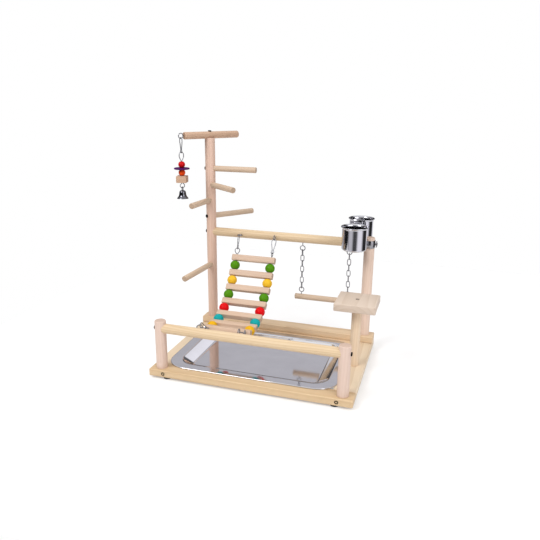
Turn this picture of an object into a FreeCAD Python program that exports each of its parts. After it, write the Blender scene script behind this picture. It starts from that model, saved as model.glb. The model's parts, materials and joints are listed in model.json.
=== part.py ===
import FreeCAD, Part
import math
import os
import re

import Sketcher
from FreeCAD import Placement, Rotation, Vector

# A parrot play stand, in millimetres.  A frame of pine boards carries a steel tray, four posts and
# a platform.  Perches are screwed to the tall post, a ladder is slung between the main bar and the
# front rail, a swing hangs on two chains, a bead toy hangs from the top perch and two steel cups
# hang on a bracket.  The origin is the centre of the base on the floor, the front faces -Y.

SIZES = {
    # board frame, on four rubber feet
    "base_width": 420, "base_depth": 304, "board_thick": 15, "board_edge": 1.0,
    "front_board_depth": 35, "side_board_width": 44, "strip_depth": 33, "strip_thick": 15,
    "back_board_depth": 62, "foot_radius": 8, "foot_height": 5,
    "foot_inset_side": 36, "foot_inset_end": 11,
    # posts, rail and bar
    "post_radius": 11.5, "front_post_inset": 16.5, "post_over_rail": 16.5,
    "post_over_bar": 14.7, "rail_radius": 10, "rail_height": 106.5,
    "bar_radius": 10, "bar_height": 249.3, "cope_gap": 0.15,
    # perches on the tall post; a share is how far up it sits from the bar to the top perch, and for
    # the lowest one from the base to the bar
    "side_perch_radius": 6.5, "top_perch_radius": 8, "top_perch_height": 473,
    "top_perch_left": 67.5, "top_perch_right": 77, "top_perch_angle": 146.3, "saddle_depth": 2,
    "perch_1_share": 0.664, "perch_1_angle": 91.4, "perch_1_reach": 111,
    "perch_2_share": 0.497, "perch_2_angle": 50.5, "perch_2_reach": 106,
    "perch_3_share": 0.338, "perch_3_angle": -3.3, "perch_3_reach": 96,
    "perch_4_share": 0.167, "perch_4_angle": 143, "perch_4_reach": 117.5,
    "perch_5_share": 0.625, "perch_5_angle": -3.7, "perch_5_reach": 137,
    # platform
    "platform_width": 83.5, "platform_depth": 81.5, "platform_thick": 16, "platform_top": 165.6,
    "platform_inset": 23, "platform_edge": 1.5, "platform_post_radius": 10,
    # screws
    "screw_radius": 1.75, "pan_head_radius": 4, "pan_head_height": 2.4,
    "flat_head_radius": 4, "flat_head_depth": 2.6, "screw_gap": 0.3, "screw_bite": 15,
    "front_screw_inset": 31, "strip_screw_spacing": 200,
    # tray
    "tray_side_gap": 30, "tray_back_gap": 11.5, "tray_corner": 45, "tray_flange": 21,
    "tray_wall_run": 24, "tray_drop": 13.5, "tray_sheet": 0.8, "tray_rim_width": 2.4,
    "tray_rim_height": 2.2, "tray_mouth_corner": 34, "tray_shift": -7.7, "tray_front_gap": 20,
    "rest_gap": 0.3,
    # wire goods
    "eye_radius": 5.6, "eye_wire": 1.0, "eye_neck": 1.6, "eye_bite": 8, "link_play": 0.1,
    "hinge_gap": 0.3, "clip_length": 35, "clip_width": 11.5, "clip_wire": 0.9,
    "clip_eye_radius": 3.0, "clip_sleeve_radius": 1.7, "clip_sleeve_length": 4,
    # ladder
    "ladder_inset": 120.5, "ladder_spacing": 84, "rung_length": 103, "rung_height": 14,
    "rung_depth": 13, "rung_edge": 2, "rung_count": 7, "ladder_pitch": 35.85,
    "ladder_top_reach": 53.5, "ladder_foot_reach": 50.5, "ladder_wire": 0.9,
    "ladder_hole": 1.4, "ladder_tail": 1.5, "bead_radius": 11, "bead_length": 18.6, "bead_hole": 1.4,
    "loop_width": 13, "rail_eye_angle": 20,
    # swing
    "swing_side_gap": 16.5, "swing_spacing": 108, "swing_perch_length": 138,
    "swing_bar_neck": 6.2, "swing_perch_neck": 4.5,
    "chain_link_length": 16.7, "chain_link_width": 9, "chain_wire": 0.9, "chain_links": 7,
    # toy
    "toy_bead_radius": 7.6, "toy_bead_length": 13.6, "toy_hole": 1.4, "toy_wire": 0.9,
    "toy_upper_loop": 20.3, "toy_disc_radius": 17.5, "toy_disc_thick": 3.4, "toy_block_width": 23,
    "toy_block_height": 15, "toy_block_edge": 1.5, "toy_block_turn": 12, "toy_lower_loop": 12.6,
    "toy_play": 0.3, "bell_radius": 13, "bell_height": 18.5, "bell_crown_radius": 4,
    "bell_waist_radius": 7.6, "bell_sheet": 0.8, "bell_loop_width": 6.4, "bell_loop_length": 8.4,
    "clapper_length": 13.5, "clapper_ball": 2.3, "clapper_rod": 0.6,
    # cups and bracket
    "cup_radius": 26.5, "cup_rim_radius": 29.5, "cup_height": 51, "cup_bottom": 245,
    "cup_sheet": 0.7, "cup_rim": 1.6, "cup_offset": 48.5, "cup_inset": 27, "hook_width": 24,
    "hook_sheet": 1.2, "hook_lip": 7, "hook_leg": 2, "bracket_sheet": 1.5, "bracket_gap": 0.5,
    "bracket_height": 17, "bracket_arm": 42, "tab_width": 30, "tab_top": 304,
    "wing_screw_radius": 2, "wing_screw_bite": 12, "wing_boss_radius": 4, "wing_boss_length": 3.5,
    "wing_span": 15, "wing_thick": 1.6,
}

# Formulas of the sheet, in an order in which each uses only names above it.
DERIVED = {
    "deck": "foot_height + board_thick",
    "strip_top": "deck + strip_thick",
    "post_line": "base_width / 2 - side_board_width / 2",
    "front_line": "-(base_depth / 2 - front_post_inset)",
    "rear_line": "base_depth / 2 - strip_depth / 2",
    "well_width": "base_width - 2 * side_board_width",
    "side_board_length": "base_depth - front_board_depth",
    "bar_span": "2 * post_line",
    "tall_post_height": "top_perch_height - top_perch_radius + saddle_depth - strip_top",
    "front_post_height": "rail_height + post_over_rail - deck",
    "rear_post_height": "bar_height + post_over_bar - strip_top",
    "perch_1_height": "bar_height + perch_1_share * (top_perch_height - bar_height)",
    "perch_2_height": "bar_height + perch_2_share * (top_perch_height - bar_height)",
    "perch_3_height": "bar_height + perch_3_share * (top_perch_height - bar_height)",
    "perch_4_height": "bar_height + perch_4_share * (top_perch_height - bar_height)",
    "perch_5_height": "strip_top + perch_5_share * (bar_height - strip_top)",
    "ladder_centre": "ladder_inset - post_line",
    "swing_centre": "post_line - post_radius - swing_side_gap - swing_perch_length / 2",
    "platform_line": "base_width / 2 - platform_inset",
    "platform_post_height": "platform_top - platform_thick - deck",
    "tray_width": "base_width - 2 * tray_side_gap",
    "tray_depth": "base_depth - tray_front_gap - strip_depth - tray_back_gap",
    "tray_mouth_width": "tray_width - 2 * tray_flange",
    "tray_mouth_depth": "tray_depth - 2 * tray_flange",
    "tray_slope": "tray_wall_run / tray_drop",
    "tray_skin": "tray_sheet * sqrt(1 + tray_slope ^ 2)",
    "pan_mouth_width": "tray_mouth_width + 2 * tray_skin",
    "pan_mouth_depth": "tray_mouth_depth + 2 * tray_skin",
    "pan_mouth_corner": "tray_mouth_corner + tray_skin",
    "rim_hollow_width": "tray_width - 2 * tray_rim_width",
    "rim_hollow_depth": "tray_depth - 2 * tray_rim_width",
    "rim_hollow_corner": "tray_corner - tray_rim_width",
    "tray_level": "deck + rest_gap + tray_rim_height",
    "cope_radius": "post_radius + cope_gap",
    "eye_hole": "eye_wire + screw_gap",
    "bracket_inner": "post_radius + bracket_gap",
    "bracket_outer": "bracket_inner + bracket_sheet",
    "bracket_bottom": "bar_height - bracket_height / 2",
    "cup_line": "post_line - cup_inset",
    "hook_slot": "cup_offset - bracket_outer - rest_gap",
    "hook_top": "tab_top - cup_bottom + rest_gap",
    "wing_hole": "wing_screw_radius + 2 * rest_gap",
}

doc = FreeCAD.newDocument("ParrotPlayStand")
sheet = doc.addObject("Spreadsheet::Sheet", "Dims")
size = {}
pieces = {}
tools = {}


def fill_sheet():
    """Write the driving dimensions and the formulas, and read every value back as a number."""
    for row, (name, value) in enumerate({**SIZES, **DERIVED}.items(), start=1):
        sheet.set(f"A{row}", name)
        sheet.set(f"B{row}", f"={value}" if isinstance(value, str) else str(value))
        sheet.setAlias(f"B{row}", name)
    doc.recompute()
    for name in {**SIZES, **DERIVED}:
        size[name] = float(sheet.get(name))


def named(text):
    """An expression in which each name of the sheet points at its cell."""
    return re.sub(r"[a-z]\w*", lambda m: f"Dims.{m[0]}" if m[0] in size else m[0], str(text))


def bind(thing, **expressions):
    """Tie properties to the sheet; x, y and z stand for the object's place."""
    for name, text in expressions.items():
        path = f"Placement.Base.{name}" if name in "xyz" else name
        thing.setExpression(path, named(text))
    return thing


def facing(direction, across=Vector(1, 0, 0)):
    """The turn that brings Z to the direction and X as near as it can to the other vector."""
    return Rotation(across, Vector(0, 0, 0), direction, "ZXY")


# ---------------------------------------------------------------------------------- sketched forms

def new_sketch(body, role, rise=None):
    """A sketch on one of the body's own origin planes, moved along its normal by an expression."""
    sketch = body.newObject("Sketcher::SketchObject", f"{body.Name}_sketch")
    plane = next(item for item in body.Origin.OriginFeatures if item.Role == role)
    sketch.AttachmentSupport = [(plane, "")]
    sketch.MapMode = "FlatFace"
    if rise is not None:
        sketch.setExpression("AttachmentOffset.Base.z", named(rise))
    return sketch


def outline(sketch, points):
    """Straight edges through points, each coordinate an expression from the sketch's origin."""
    count = len(points)
    turns = [0.3 + 2 * math.pi * k / count for k in range(count)]
    rough = [Vector(20 * math.cos(turn), 20 * math.sin(turn), 0) for turn in turns]
    for k in range(count):
        sketch.addGeometry(Part.LineSegment(rough[k], rough[(k + 1) % count]), False)
    constraints = [Sketcher.Constraint("Coincident", k, 2, (k + 1) % count, 1) for k in range(count)]
    formulas = {}
    for k, pair in enumerate(points):
        for text, kind, axis, start in zip(pair, ("DistanceX", "DistanceY"), (-2, -1), rough[k]):
            if text == "0":
                constraints.append(Sketcher.Constraint("PointOnObject", k, 1, axis))
            else:
                formulas[len(constraints)] = text
                constraints.append(Sketcher.Constraint(kind, -1, 1, k, 1, start))
    sketch.addConstraint(constraints)
    for index, text in formulas.items():
        sketch.setExpression(f"Constraints[{index}]", named(text))


def rounded_rectangle(sketch, width, depth, corner):
    """A rectangle with round corners about the sketch's origin; the sizes are names of the sheet."""
    x, y, r = size[width] / 2, size[depth] / 2, size[corner]
    base = sketch.GeometryCount
    ends = [((r - x, -y), (x - r, -y)), ((x, r - y), (x, y - r)), ((x - r, y), (r - x, y)),
            ((-x, y - r), (-x, r - y))]
    for start, end in ends:
        sketch.addGeometry(Part.LineSegment(Vector(*start, 0), Vector(*end, 0)), False)
    for k, (cx, cy) in enumerate([(x - r, r - y), (x - r, y - r), (r - x, y - r), (r - x, r - y)]):
        circle = Part.Circle(Vector(cx, cy, 0), Vector(0, 0, 1), r)
        start = (k - 1) * math.pi / 2
        sketch.addGeometry(Part.ArcOfCircle(circle, start, start + math.pi / 2), False)
    constraints = []
    for k in range(4):
        line, arc, following = base + k, base + 4 + k, base + (k + 1) % 4
        constraints.append(Sketcher.Constraint("Tangent", line, 2, arc, 1))
        constraints.append(Sketcher.Constraint("Tangent", arc, 2, following, 1))
        constraints.append(Sketcher.Constraint(("Horizontal", "Vertical")[k % 2], line))
    for k in range(1, 4):
        constraints.append(Sketcher.Constraint("Equal", base + 4, base + 4 + k))
    measured = [("Radius", (base + 4,), r, corner),
                ("DistanceY", (-1, 1, base, 1), -y, f"-{depth} / 2"),
                ("DistanceX", (-1, 1, base + 1, 1), x, f"{width} / 2"),
                ("DistanceY", (-1, 1, base + 2, 1), y, f"{depth} / 2"),
                ("DistanceX", (-1, 1, base + 3, 1), -x, f"-{width} / 2")]
    first = sketch.ConstraintCount + len(constraints)
    constraints += [Sketcher.Constraint(kind, *where, start) for kind, where, start, _ in measured]
    sketch.addConstraint(constraints)
    for index, (_, _, _, text) in enumerate(measured, start=first):
        sketch.setExpression(f"Constraints[{index}]", named(text))


def add_pad(body, sketch, length, midplane=False, reverse=False):
    """Extrude a sketch of the body."""
    pad = body.newObject("PartDesign::Pad", f"{body.Name}_pad")
    pad.Profile = sketch
    pad.setExpression("Length", named(length))
    pad.Midplane = midplane
    pad.Reversed = reverse
    return pad


def ease_edges(body, feature, edge):
    """Take the sharpness off every edge of the body's last feature."""
    doc.recompute()
    chamfer = body.newObject("PartDesign::Chamfer", f"{body.Name}_ease")
    chamfer.Base = (feature, [""])
    chamfer.UseAllEdges = True
    chamfer.setExpression("Size", named(edge))


def prism(label, role, points, length, edge=None, midplane=False):
    """A straight outline extruded from one of the origin planes."""
    body = doc.addObject("PartDesign::Body", label)
    sketch = new_sketch(body, role)
    outline(sketch, points)
    pad = add_pad(body, sketch, length, midplane)
    if edge:
        ease_edges(body, pad, edge)
    pieces[label] = body
    return body


def block(label, length, width, height, edge, **place):
    """A board with eased edges, its first corner at the place given."""
    corners = [("0", "0"), (length, "0"), (length, width), ("0", width)]
    return bind(prism(label, "XY_Plane", corners, height, edge), **place)


def turned(label, profile):
    """A body turned about its own Z axis from (radius, height) pairs."""
    body = doc.addObject("PartDesign::Body", label)
    sketch = new_sketch(body, "XZ_Plane")
    outline(sketch, profile)
    revolution = body.newObject("PartDesign::Revolution", f"{label}_turn")
    revolution.Profile = sketch
    revolution.ReferenceAxis = (sketch, ["V_Axis"])
    revolution.Angle = 360
    pieces[label] = body
    return body


def dowel(label, radius, length):
    """A round rod along Z."""
    return turned(label, [("0", "0"), (radius, "0"), (radius, length), ("0", length)])


# ---------------------------------------------------------------------------------- simple tools

def cylinder(name, radius, height, start, direction):
    """A cylinder from a point along a direction; radius and height are expressions."""
    rod = doc.addObject("Part::Cylinder", name)
    bind(rod, Radius=radius, Height=height)
    rod.Placement = Placement(start, facing(direction))
    return rod


def drill(label, radius, height, start, direction):
    """Note a round cut in a sub-part; the cuts are made once all of them are known."""
    name = f"{label}_bore_{len(tools.get(label, []))}"
    tools.setdefault(label, []).append(cylinder(name, radius, height, start, direction))


def bore(label, name, profile, place):
    """Note a hole of few flats to be cut in a sub-part."""
    tools.setdefault(label, []).append(faceted(name, profile, 6, place))


def joined(kind, name, members):
    """One object made from several, by a fuse or as a compound."""
    if len(members) == 1:
        return members[0]
    whole = doc.addObject(kind, name)
    setattr(whole, "Links" if kind == "Part::Compound" else "Shapes", members)
    return whole


def cut_tools():
    """Take each sub-part's noted cuts out of it."""
    for label, cutters in tools.items():
        cut = doc.addObject("Part::Cut", f"{label}_cut")
        cut.Base = pieces[label]
        cut.Tool = joined("Part::MultiFuse", f"{label}_cutters", cutters)
        pieces[label] = cut


def bent_wire(name, points, radius, closed=False, sides=4):
    """A wire of few flats through straight runs, mitred where they meet."""
    nodes = list(points)
    if closed:
        nodes = [(nodes[0] + nodes[1]) * 0.5] + nodes[1:] + [nodes[0]]
    spine = doc.addObject("Part::Polygon", f"{name}_path")
    spine.Nodes = nodes
    spine.Close = closed
    section = doc.addObject("Part::RegularPolygon", f"{name}_section")
    section.Polygon = sides
    bind(section, Circumradius=radius)
    section.Placement = Placement(nodes[0], facing((nodes[1] - nodes[0]).normalize()))
    wire = doc.addObject("Part::Sweep", name)
    wire.Sections = [section]
    wire.Spine = (spine, [])
    wire.Solid = True
    wire.Transition = "Right corner"
    return wire


def faceted(name, profile, sides, place):
    """A many-sided turned form: a closed profile of (radius, height) pairs taken round Z in flats."""
    turns = [2 * math.pi * k / sides for k in range(sides)]
    rings = [[Vector(radius * math.cos(turn), radius * math.sin(turn), height) for turn in turns]
             for radius, height in profile]
    faces = []
    for low, high, (low_radius, _), (high_radius, _) in zip(rings, rings[1:] + rings[:1], profile,
                                                            profile[1:] + profile[:1]):
        for k in range(sides if low_radius or high_radius else 0):
            following = (k + 1) % sides
            corners = [low[k], high[k]]
            corners += [high[following]] if high_radius else []
            corners += [low[following]] if low_radius else []
            faces.append(Part.Face(Part.makePolygon(corners + corners[:1])))
    form = doc.addObject("Part::Feature", name)
    form.Shape = Part.makeSolid(Part.makeShell(faces))
    form.Placement = place
    return form


# ---------------------------------------------------------------------------------- wooden frame

def make_boards():
    """Front board, two side boards, a lower back board between them and the raised back strip."""
    back = "base_depth / 2"
    half = "base_width / 2"
    block("front_board", "base_width", "front_board_depth", "board_thick", "board_edge",
          x=f"-{half}", y=f"-{back}", z="foot_height")
    for side, x in (("left", f"-{half}"), ("right", f"{half} - side_board_width")):
        block(f"side_board_{side}", "side_board_width", "side_board_length", "board_thick",
              "board_edge", x=x, y=f"front_board_depth - {back}", z="foot_height")
    block("back_board", "well_width", "back_board_depth", "board_thick", "board_edge",
          x="-well_width / 2", y=f"{back} - back_board_depth", z="foot_height")
    block("back_strip", "base_width", "strip_depth", "strip_thick", "board_edge",
          x=f"-{half}", y=f"{back} - strip_depth", z="deck")


def make_feet():
    """Four rubber feet under the corners."""
    feet = []
    for x in ("-(base_width / 2 - foot_inset_side)", "base_width / 2 - foot_inset_side"):
        for y in ("-(base_depth / 2 - foot_inset_end)", "base_depth / 2 - foot_inset_end"):
            foot = doc.addObject("Part::Prism", "foot")
            foot.Polygon = 16
            feet.append(bind(foot, Circumradius="foot_radius", Height="foot_height", x=x, y=y))
    pieces["rubber_feet"] = joined("Part::Compound", "rubber_feet", feet)


def make_posts():
    """Two short front posts, the tall post, the rear post and the platform's post."""
    for side, x in (("left", "-post_line"), ("right", "post_line")):
        bind(dowel(f"front_post_{side}", "post_radius", "front_post_height"),
             x=x, y="front_line", z="deck")
    pieces["front_posts"] = joined("Part::Compound", "front_posts", [
        pieces.pop("front_post_left"), pieces.pop("front_post_right")])
    bind(dowel("tall_post", "post_radius", "tall_post_height"),
         x="-post_line", y="rear_line", z="strip_top")
    bind(dowel("rear_post", "post_radius", "rear_post_height"),
         x="post_line", y="rear_line", z="strip_top")
    bind(dowel("platform_post", "platform_post_radius", "platform_post_height"),
         x="platform_line", z="deck")


def make_crossbar(label, radius, height, line):
    """A round bar between two posts, both ends coped to them."""
    bar = cylinder(f"{label}_rod", radius, "bar_span", Vector(-size["post_line"], size[line],
                   size[height]), Vector(1, 0, 0))
    bind(bar, x="-post_line", y=line, z=height)
    pieces[label] = bar
    for side in (-1, 1):
        foot = Vector(side * size["post_line"], size[line], size[height] - 2 * size[radius])
        drill(label, "cope_radius", f"4 * {radius}", foot, Vector(0, 0, 1))


def heading(angle):
    """Level direction of a perch: 0 degrees points to the front, 90 degrees to the right."""
    turn = math.radians(angle)
    return Vector(math.sin(turn), -math.cos(turn), 0)


def tall_post_at(height):
    """A point on the tall post's axis."""
    return Vector(-size["post_line"], size["rear_line"], height)


def make_side_perches():
    """Five perches, each coped to the tall post and held by a screw from the far side."""
    for number in range(1, 6):
        label = f"side_perch_{number}"
        point = tall_post_at(size[f"perch_{number}_height"])
        direction = heading(size[f"perch_{number}_angle"])
        perch = dowel(label, "side_perch_radius", f"perch_{number}_reach")
        perch.Placement = Placement(point, facing(direction))
        low = point - Vector(0, 0, 2 * size["side_perch_radius"])
        drill(label, "cope_radius", "4 * side_perch_radius", low, Vector(0, 0, 1))
        pan_screw(point - direction * size["post_radius"], direction,
                  2 * size["post_radius"] + size["screw_bite"], ["tall_post", label])


def make_top_perch():
    """The top perch lies in a saddle across the tall post's end."""
    direction = heading(size["top_perch_angle"])
    start = tall_post_at(size["top_perch_height"]) - direction * size["top_perch_left"]
    perch = dowel("top_perch", "top_perch_radius", "top_perch_left + top_perch_right")
    perch.Placement = Placement(start, facing(direction))
    drill("tall_post", "top_perch_radius + cope_gap", "top_perch_left + top_perch_right", start,
          direction)
    top = tall_post_at(size["top_perch_height"] + size["top_perch_radius"])
    pan_screw(top, Vector(0, 0, -1), 2 * size["top_perch_radius"] + size["screw_bite"],
              ["top_perch", "tall_post"])


def make_platform():
    """The small landing board on its post, held by one screw from above."""
    block("platform", "platform_width", "platform_depth", "platform_thick", "platform_edge",
          x="platform_line - platform_width / 2", y="-platform_depth / 2",
          z="platform_top - platform_thick")
    flat_screw(Vector(size["platform_line"], 0, size["platform_top"]), Vector(0, 0, -1),
               size["platform_thick"] + size["screw_bite"], ["platform", "platform_post"])


# ---------------------------------------------------------------------------------- fasteners

pan_screws = []
flat_screws = []


def pan_screw(start, direction, length, labels):
    """A pan head screw with its head on the surface; it bores the pieces that it passes."""
    place = Placement(start, facing(direction))
    head, height, shank = (size[key] for key in ("pan_head_radius", "pan_head_height",
                                                 "screw_radius"))
    pan_screws.append(faceted("pan_screw", [
        (0, -height), (0.7 * head, -height), (head, -0.5 * height), (head, 0), (shank, 0),
        (shank, length), (0, length)], 6, place))
    hole, depth = shank + size["screw_gap"], length + size["screw_gap"]
    for label in labels:
        bore(label, f"{label}_pilot", [(0, 0), (hole, 0), (hole, depth), (0, depth)], place)


def flat_screw(start, direction, length, labels):
    """A countersunk screw, its head level with the surface of the first piece."""
    place = Placement(start, facing(direction))
    head, sink, shank = (size[key] for key in ("flat_head_radius", "flat_head_depth",
                                               "screw_radius"))
    flat_screws.append(faceted("flat_screw", [(0, 0), (head, 0), (shank, sink), (shank, length),
                                              (0, length)], 6, place))
    gap = size["screw_gap"]
    for label in labels:
        bore(label, f"{label}_pilot", [
            (0, 0), (head + gap, 0), (shank + gap, sink), (shank + gap, length + gap),
            (0, length + gap)], place)


def make_frame_screws():
    """Rail and bar screws, the two in the front edge and those that come up from below."""
    radius, bite, board = size["post_radius"], size["screw_bite"], size["board_thick"]
    for side in (-1, 1):
        start = Vector(side * (size["post_line"] + radius), size["front_line"],
                       size["rail_height"])
        pan_screw(start, Vector(-side, 0, 0), 2 * radius + bite, ["front_posts", "front_rail"])
    start = tall_post_at(size["bar_height"]) - Vector(radius, 0, 0)
    pan_screw(start, Vector(1, 0, 0), 2 * radius + bite, ["tall_post", "main_bar"])

    front = -size["base_depth"] / 2
    inset = size["base_width"] / 2 - size["front_screw_inset"]
    level = size["foot_height"] + board / 2
    up = Vector(0, 0, 1)
    for side, rail, tall in ((-1, "side_board_left", "tall_post"),
                             (1, "side_board_right", "rear_post")):
        flat_screw(Vector(side * inset, front, level), Vector(0, 1, 0),
                   size["front_board_depth"] + bite, ["front_board", rail])
        below = Vector(side * size["post_line"], size["front_line"], size["foot_height"])
        flat_screw(below, up, board + 2 * bite, ["front_board", "front_posts"])
        below = Vector(side * size["post_line"], size["rear_line"], size["foot_height"])
        flat_screw(below, up, board + size["strip_thick"] + 2 * bite, [rail, "back_strip", tall])
        below = Vector(side * size["strip_screw_spacing"] / 2, size["rear_line"],
                       size["foot_height"])
        flat_screw(below, up, board + 0.8 * size["strip_thick"], ["back_board", "back_strip"])
    below = Vector(size["platform_line"], 0, size["foot_height"])
    flat_screw(below, up, board + 2 * bite, ["side_board_right", "platform_post"])


# ---------------------------------------------------------------------------------- tray

def make_tray():
    """A pressed steel tray: folded rim, flat flange, sloped walls and a flat floor."""
    body = doc.addObject("PartDesign::Body", "tray")
    plate = new_sketch(body, "XY_Plane", "-tray_sheet")
    rounded_rectangle(plate, "tray_width", "tray_depth", "tray_corner")
    add_pad(body, plate, "tray_sheet")
    fold = new_sketch(body, "XY_Plane", "-tray_rim_height")
    rounded_rectangle(fold, "tray_width", "tray_depth", "tray_corner")
    rounded_rectangle(fold, "rim_hollow_width", "rim_hollow_depth", "rim_hollow_corner")
    add_pad(body, fold, "tray_rim_height")
    pan = new_sketch(body, "XY_Plane")
    rounded_rectangle(pan, "pan_mouth_width", "pan_mouth_depth", "pan_mouth_corner")
    shell = add_pad(body, pan, "tray_drop + tray_sheet", reverse=True)
    shell.setExpression("TaperAngle", named("-atan(tray_slope)"))
    mouth = new_sketch(body, "XY_Plane")
    rounded_rectangle(mouth, "tray_mouth_width", "tray_mouth_depth", "tray_mouth_corner")
    hollow = body.newObject("PartDesign::Pocket", "tray_hollow")
    hollow.Profile = mouth
    hollow.setExpression("Length", named("tray_drop"))
    hollow.setExpression("TaperAngle", named("-atan(tray_slope)"))
    bind(body, x="tray_shift", y="tray_front_gap + tray_depth / 2 - base_depth / 2",
         z="tray_level")
    pieces["tray"] = body


# ---------------------------------------------------------------------------------- wire goods

def ring_points(centre, radius, first, second, count=10):
    """Points round a ring that lies in the plane of two unit vectors."""
    turns = [2 * math.pi * k / count for k in range(count)]
    return [centre + first * (radius * math.cos(turn)) + second * (radius * math.sin(turn))
            for turn in turns]


def eye_reach(neck="eye_neck"):
    """How far a screw eye's ring centre stands off the surface."""
    return size["eye_radius"] + size["eye_wire"] + size[neck]


def screw_eye(name, surface, outward, side, label, neck="eye_neck"):
    """A screw eye standing on a surface, its ring in the plane of outward and side."""
    centre = surface + outward * eye_reach(neck)
    ring = bent_wire(f"{name}_ring", ring_points(centre, size["eye_radius"], outward, side),
                     "eye_wire", closed=True)
    stem = bent_wire(f"{name}_stem", [centre - outward * size["eye_radius"],
                                      surface - outward * size["eye_bite"]], "eye_wire")
    depth = size["eye_bite"] + size["screw_gap"]
    bore(label, f"{name}_hole", [(0, -size["eye_wire"]), (size["eye_hole"], -size["eye_wire"]),
                                 (size["eye_hole"], depth), (0, depth)],
         Placement(surface, facing(outward * -1)))
    return joined("Part::MultiFuse", name, [ring, stem])


def clip(name, hook, way, across, ring_wire):
    """A spring clip: a drop shaped loop over the hook wire, a sleeve and a small eye."""
    wire, small = size["clip_wire"], size["clip_eye_radius"]
    top = -(size[ring_wire] + wire + size["hinge_gap"])
    wide = size["clip_width"] / 2 - wire
    bottom = top + size["clip_length"] - 2 * wire
    neck = bottom - 2 * small
    belly = top + wide
    half = [(wide * 0.7, top + wide * 0.3), (wide, belly), (wide * 0.8, (belly + neck) / 2),
            (wire, neck)]
    plan = [(0, top)] + half + [(-u, w) for u, w in reversed(half)]
    drop = bent_wire(f"{name}_drop", [hook + across * u + way * w for u, w in plan], "clip_wire",
                     closed=True)
    eye_centre = hook + way * (bottom - small)
    eye = bent_wire(f"{name}_eye", ring_points(eye_centre, small, way, across, 8), "clip_wire",
                    closed=True)
    sleeve = doc.addObject("Part::Prism", f"{name}_sleeve")
    sleeve.Polygon = 8
    bind(sleeve, Circumradius="clip_sleeve_radius", Height="clip_sleeve_length")
    start = hook + way * (neck - size["clip_sleeve_length"] + wire)
    sleeve.Placement = Placement(start, facing(way))
    return joined("Part::MultiFuse", name, [drop, eye, sleeve]), hook + way * bottom


def wire_loop(name, hook, end, across, hook_wire, wire):
    """A closed loop bent in a wire's end: it hangs on the hook wire and narrows to the end."""
    way = (end - hook).normalize()
    top = hook - way * (size[hook_wire] + size[wire] + size["hinge_gap"])
    length = (end - top).Length
    wide = size["loop_width"] / 2 - size[wire]
    half = [(0.6 * wide, 0.1), (wide, 0.38), (0.8 * wide, 0.66)]
    plan = [(0, 0)] + half + [(0, 1)] + [(-u, w) for u, w in reversed(half)]
    points = [top + across * u + way * (w * length) for u, w in plan]
    return bent_wire(name, points, wire, closed=True)


# ---------------------------------------------------------------------------------- ladder

def slung_points(across, down, start, reaches):
    """Points of a row of equal weights hung on straight reaches, from the pull on the first."""
    points = [start]
    for reach in reaches:
        pull = math.hypot(across, down)
        y, z = points[-1]
        points.append((y - reach * across / pull, z - reach * down / pull))
        down -= 1
    return points


def sling(start, end, reaches):
    """The hanging line from start to end, found by Newton's method on its end point."""
    across, down, step = 3.0, 5.0, 1e-4

    def miss(a, b):
        y, z = slung_points(a, b, start, reaches)[-1]
        return y - end[0], z - end[1]

    for _ in range(80):
        here = miss(across, down)
        by_across = miss(across + step, down)
        by_down = miss(across, down + step)
        a, b = ((by_across[k] - here[k]) / step for k in (0, 1))
        c, d = ((by_down[k] - here[k]) / step for k in (0, 1))
        scale = a * d - b * c
        move = (here[0] * d - here[1] * c) / scale, (here[1] * a - here[0] * b) / scale
        ease = min(1, 1 / max(abs(move[0]), abs(move[1]), 1e-9))
        across = max(across - ease * move[0], 0.05)
        down -= ease * move[1]
    return slung_points(across, down, start, reaches)


def ladder_eye_centre(line, height, radius, outward):
    """Centre of a ladder eye's ring, seen from the side."""
    centre = Vector(0, size[line], size[height]) + outward * (size[radius] + eye_reach())
    return centre.y, centre.z


def make_ladder():
    """Rungs and beads on two wires, clipped to the bar at the back and the rail in front."""
    forward = Vector(0, -1, 0)
    lift = math.radians(size["rail_eye_angle"])
    backward = Vector(0, math.cos(lift), math.sin(lift))
    top = ladder_eye_centre("rear_line", "bar_height", "bar_radius", forward)
    foot = ladder_eye_centre("front_line", "rail_height", "rail_radius", backward)
    count = round(size["rung_count"])
    reaches = [size["ladder_top_reach"]] + [size["ladder_pitch"]] * (count - 1)
    span = math.dist(top, foot) * 1.02
    reaches.append(max(size["ladder_foot_reach"], span - sum(reaches)))
    line = [Vector(0, y, z) for y, z in sling(top, foot, reaches)]
    ways = [(b - a).normalize() for a, b in zip(line, line[1:])]
    rungs, mouths = [], []
    for number, point in enumerate(line[1:-1]):
        upward = (ways[number] + ways[number + 1]).normalize() * -1
        rungs.append(make_rung(number, point, upward))
        half = upward * (size["rung_height"] / 2)
        mouths.append((point + half, point - half))
    pieces["ladder_rungs"] = joined("Part::Compound", "ladder_rungs", rungs)
    groups = {"wires": [], "bar_eyes": [], "rail_eyes": [], "upper_clips": [], "lower_clips": []}
    for name, side in (("left", -1), ("right", 1)):
        shift = Vector(size["ladder_centre"] + side * size["ladder_spacing"] / 2, 0, 0)
        make_beads(name, shift, mouths)
        string = [shift + line[0]] + [shift + point for pair in mouths for point in pair]
        make_string(name, string + [shift + line[-1]], ways, (forward, backward), groups)
    for name, members in groups.items():
        pieces[f"ladder_{name}"] = joined("Part::Compound", f"ladder_{name}", members)


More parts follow.
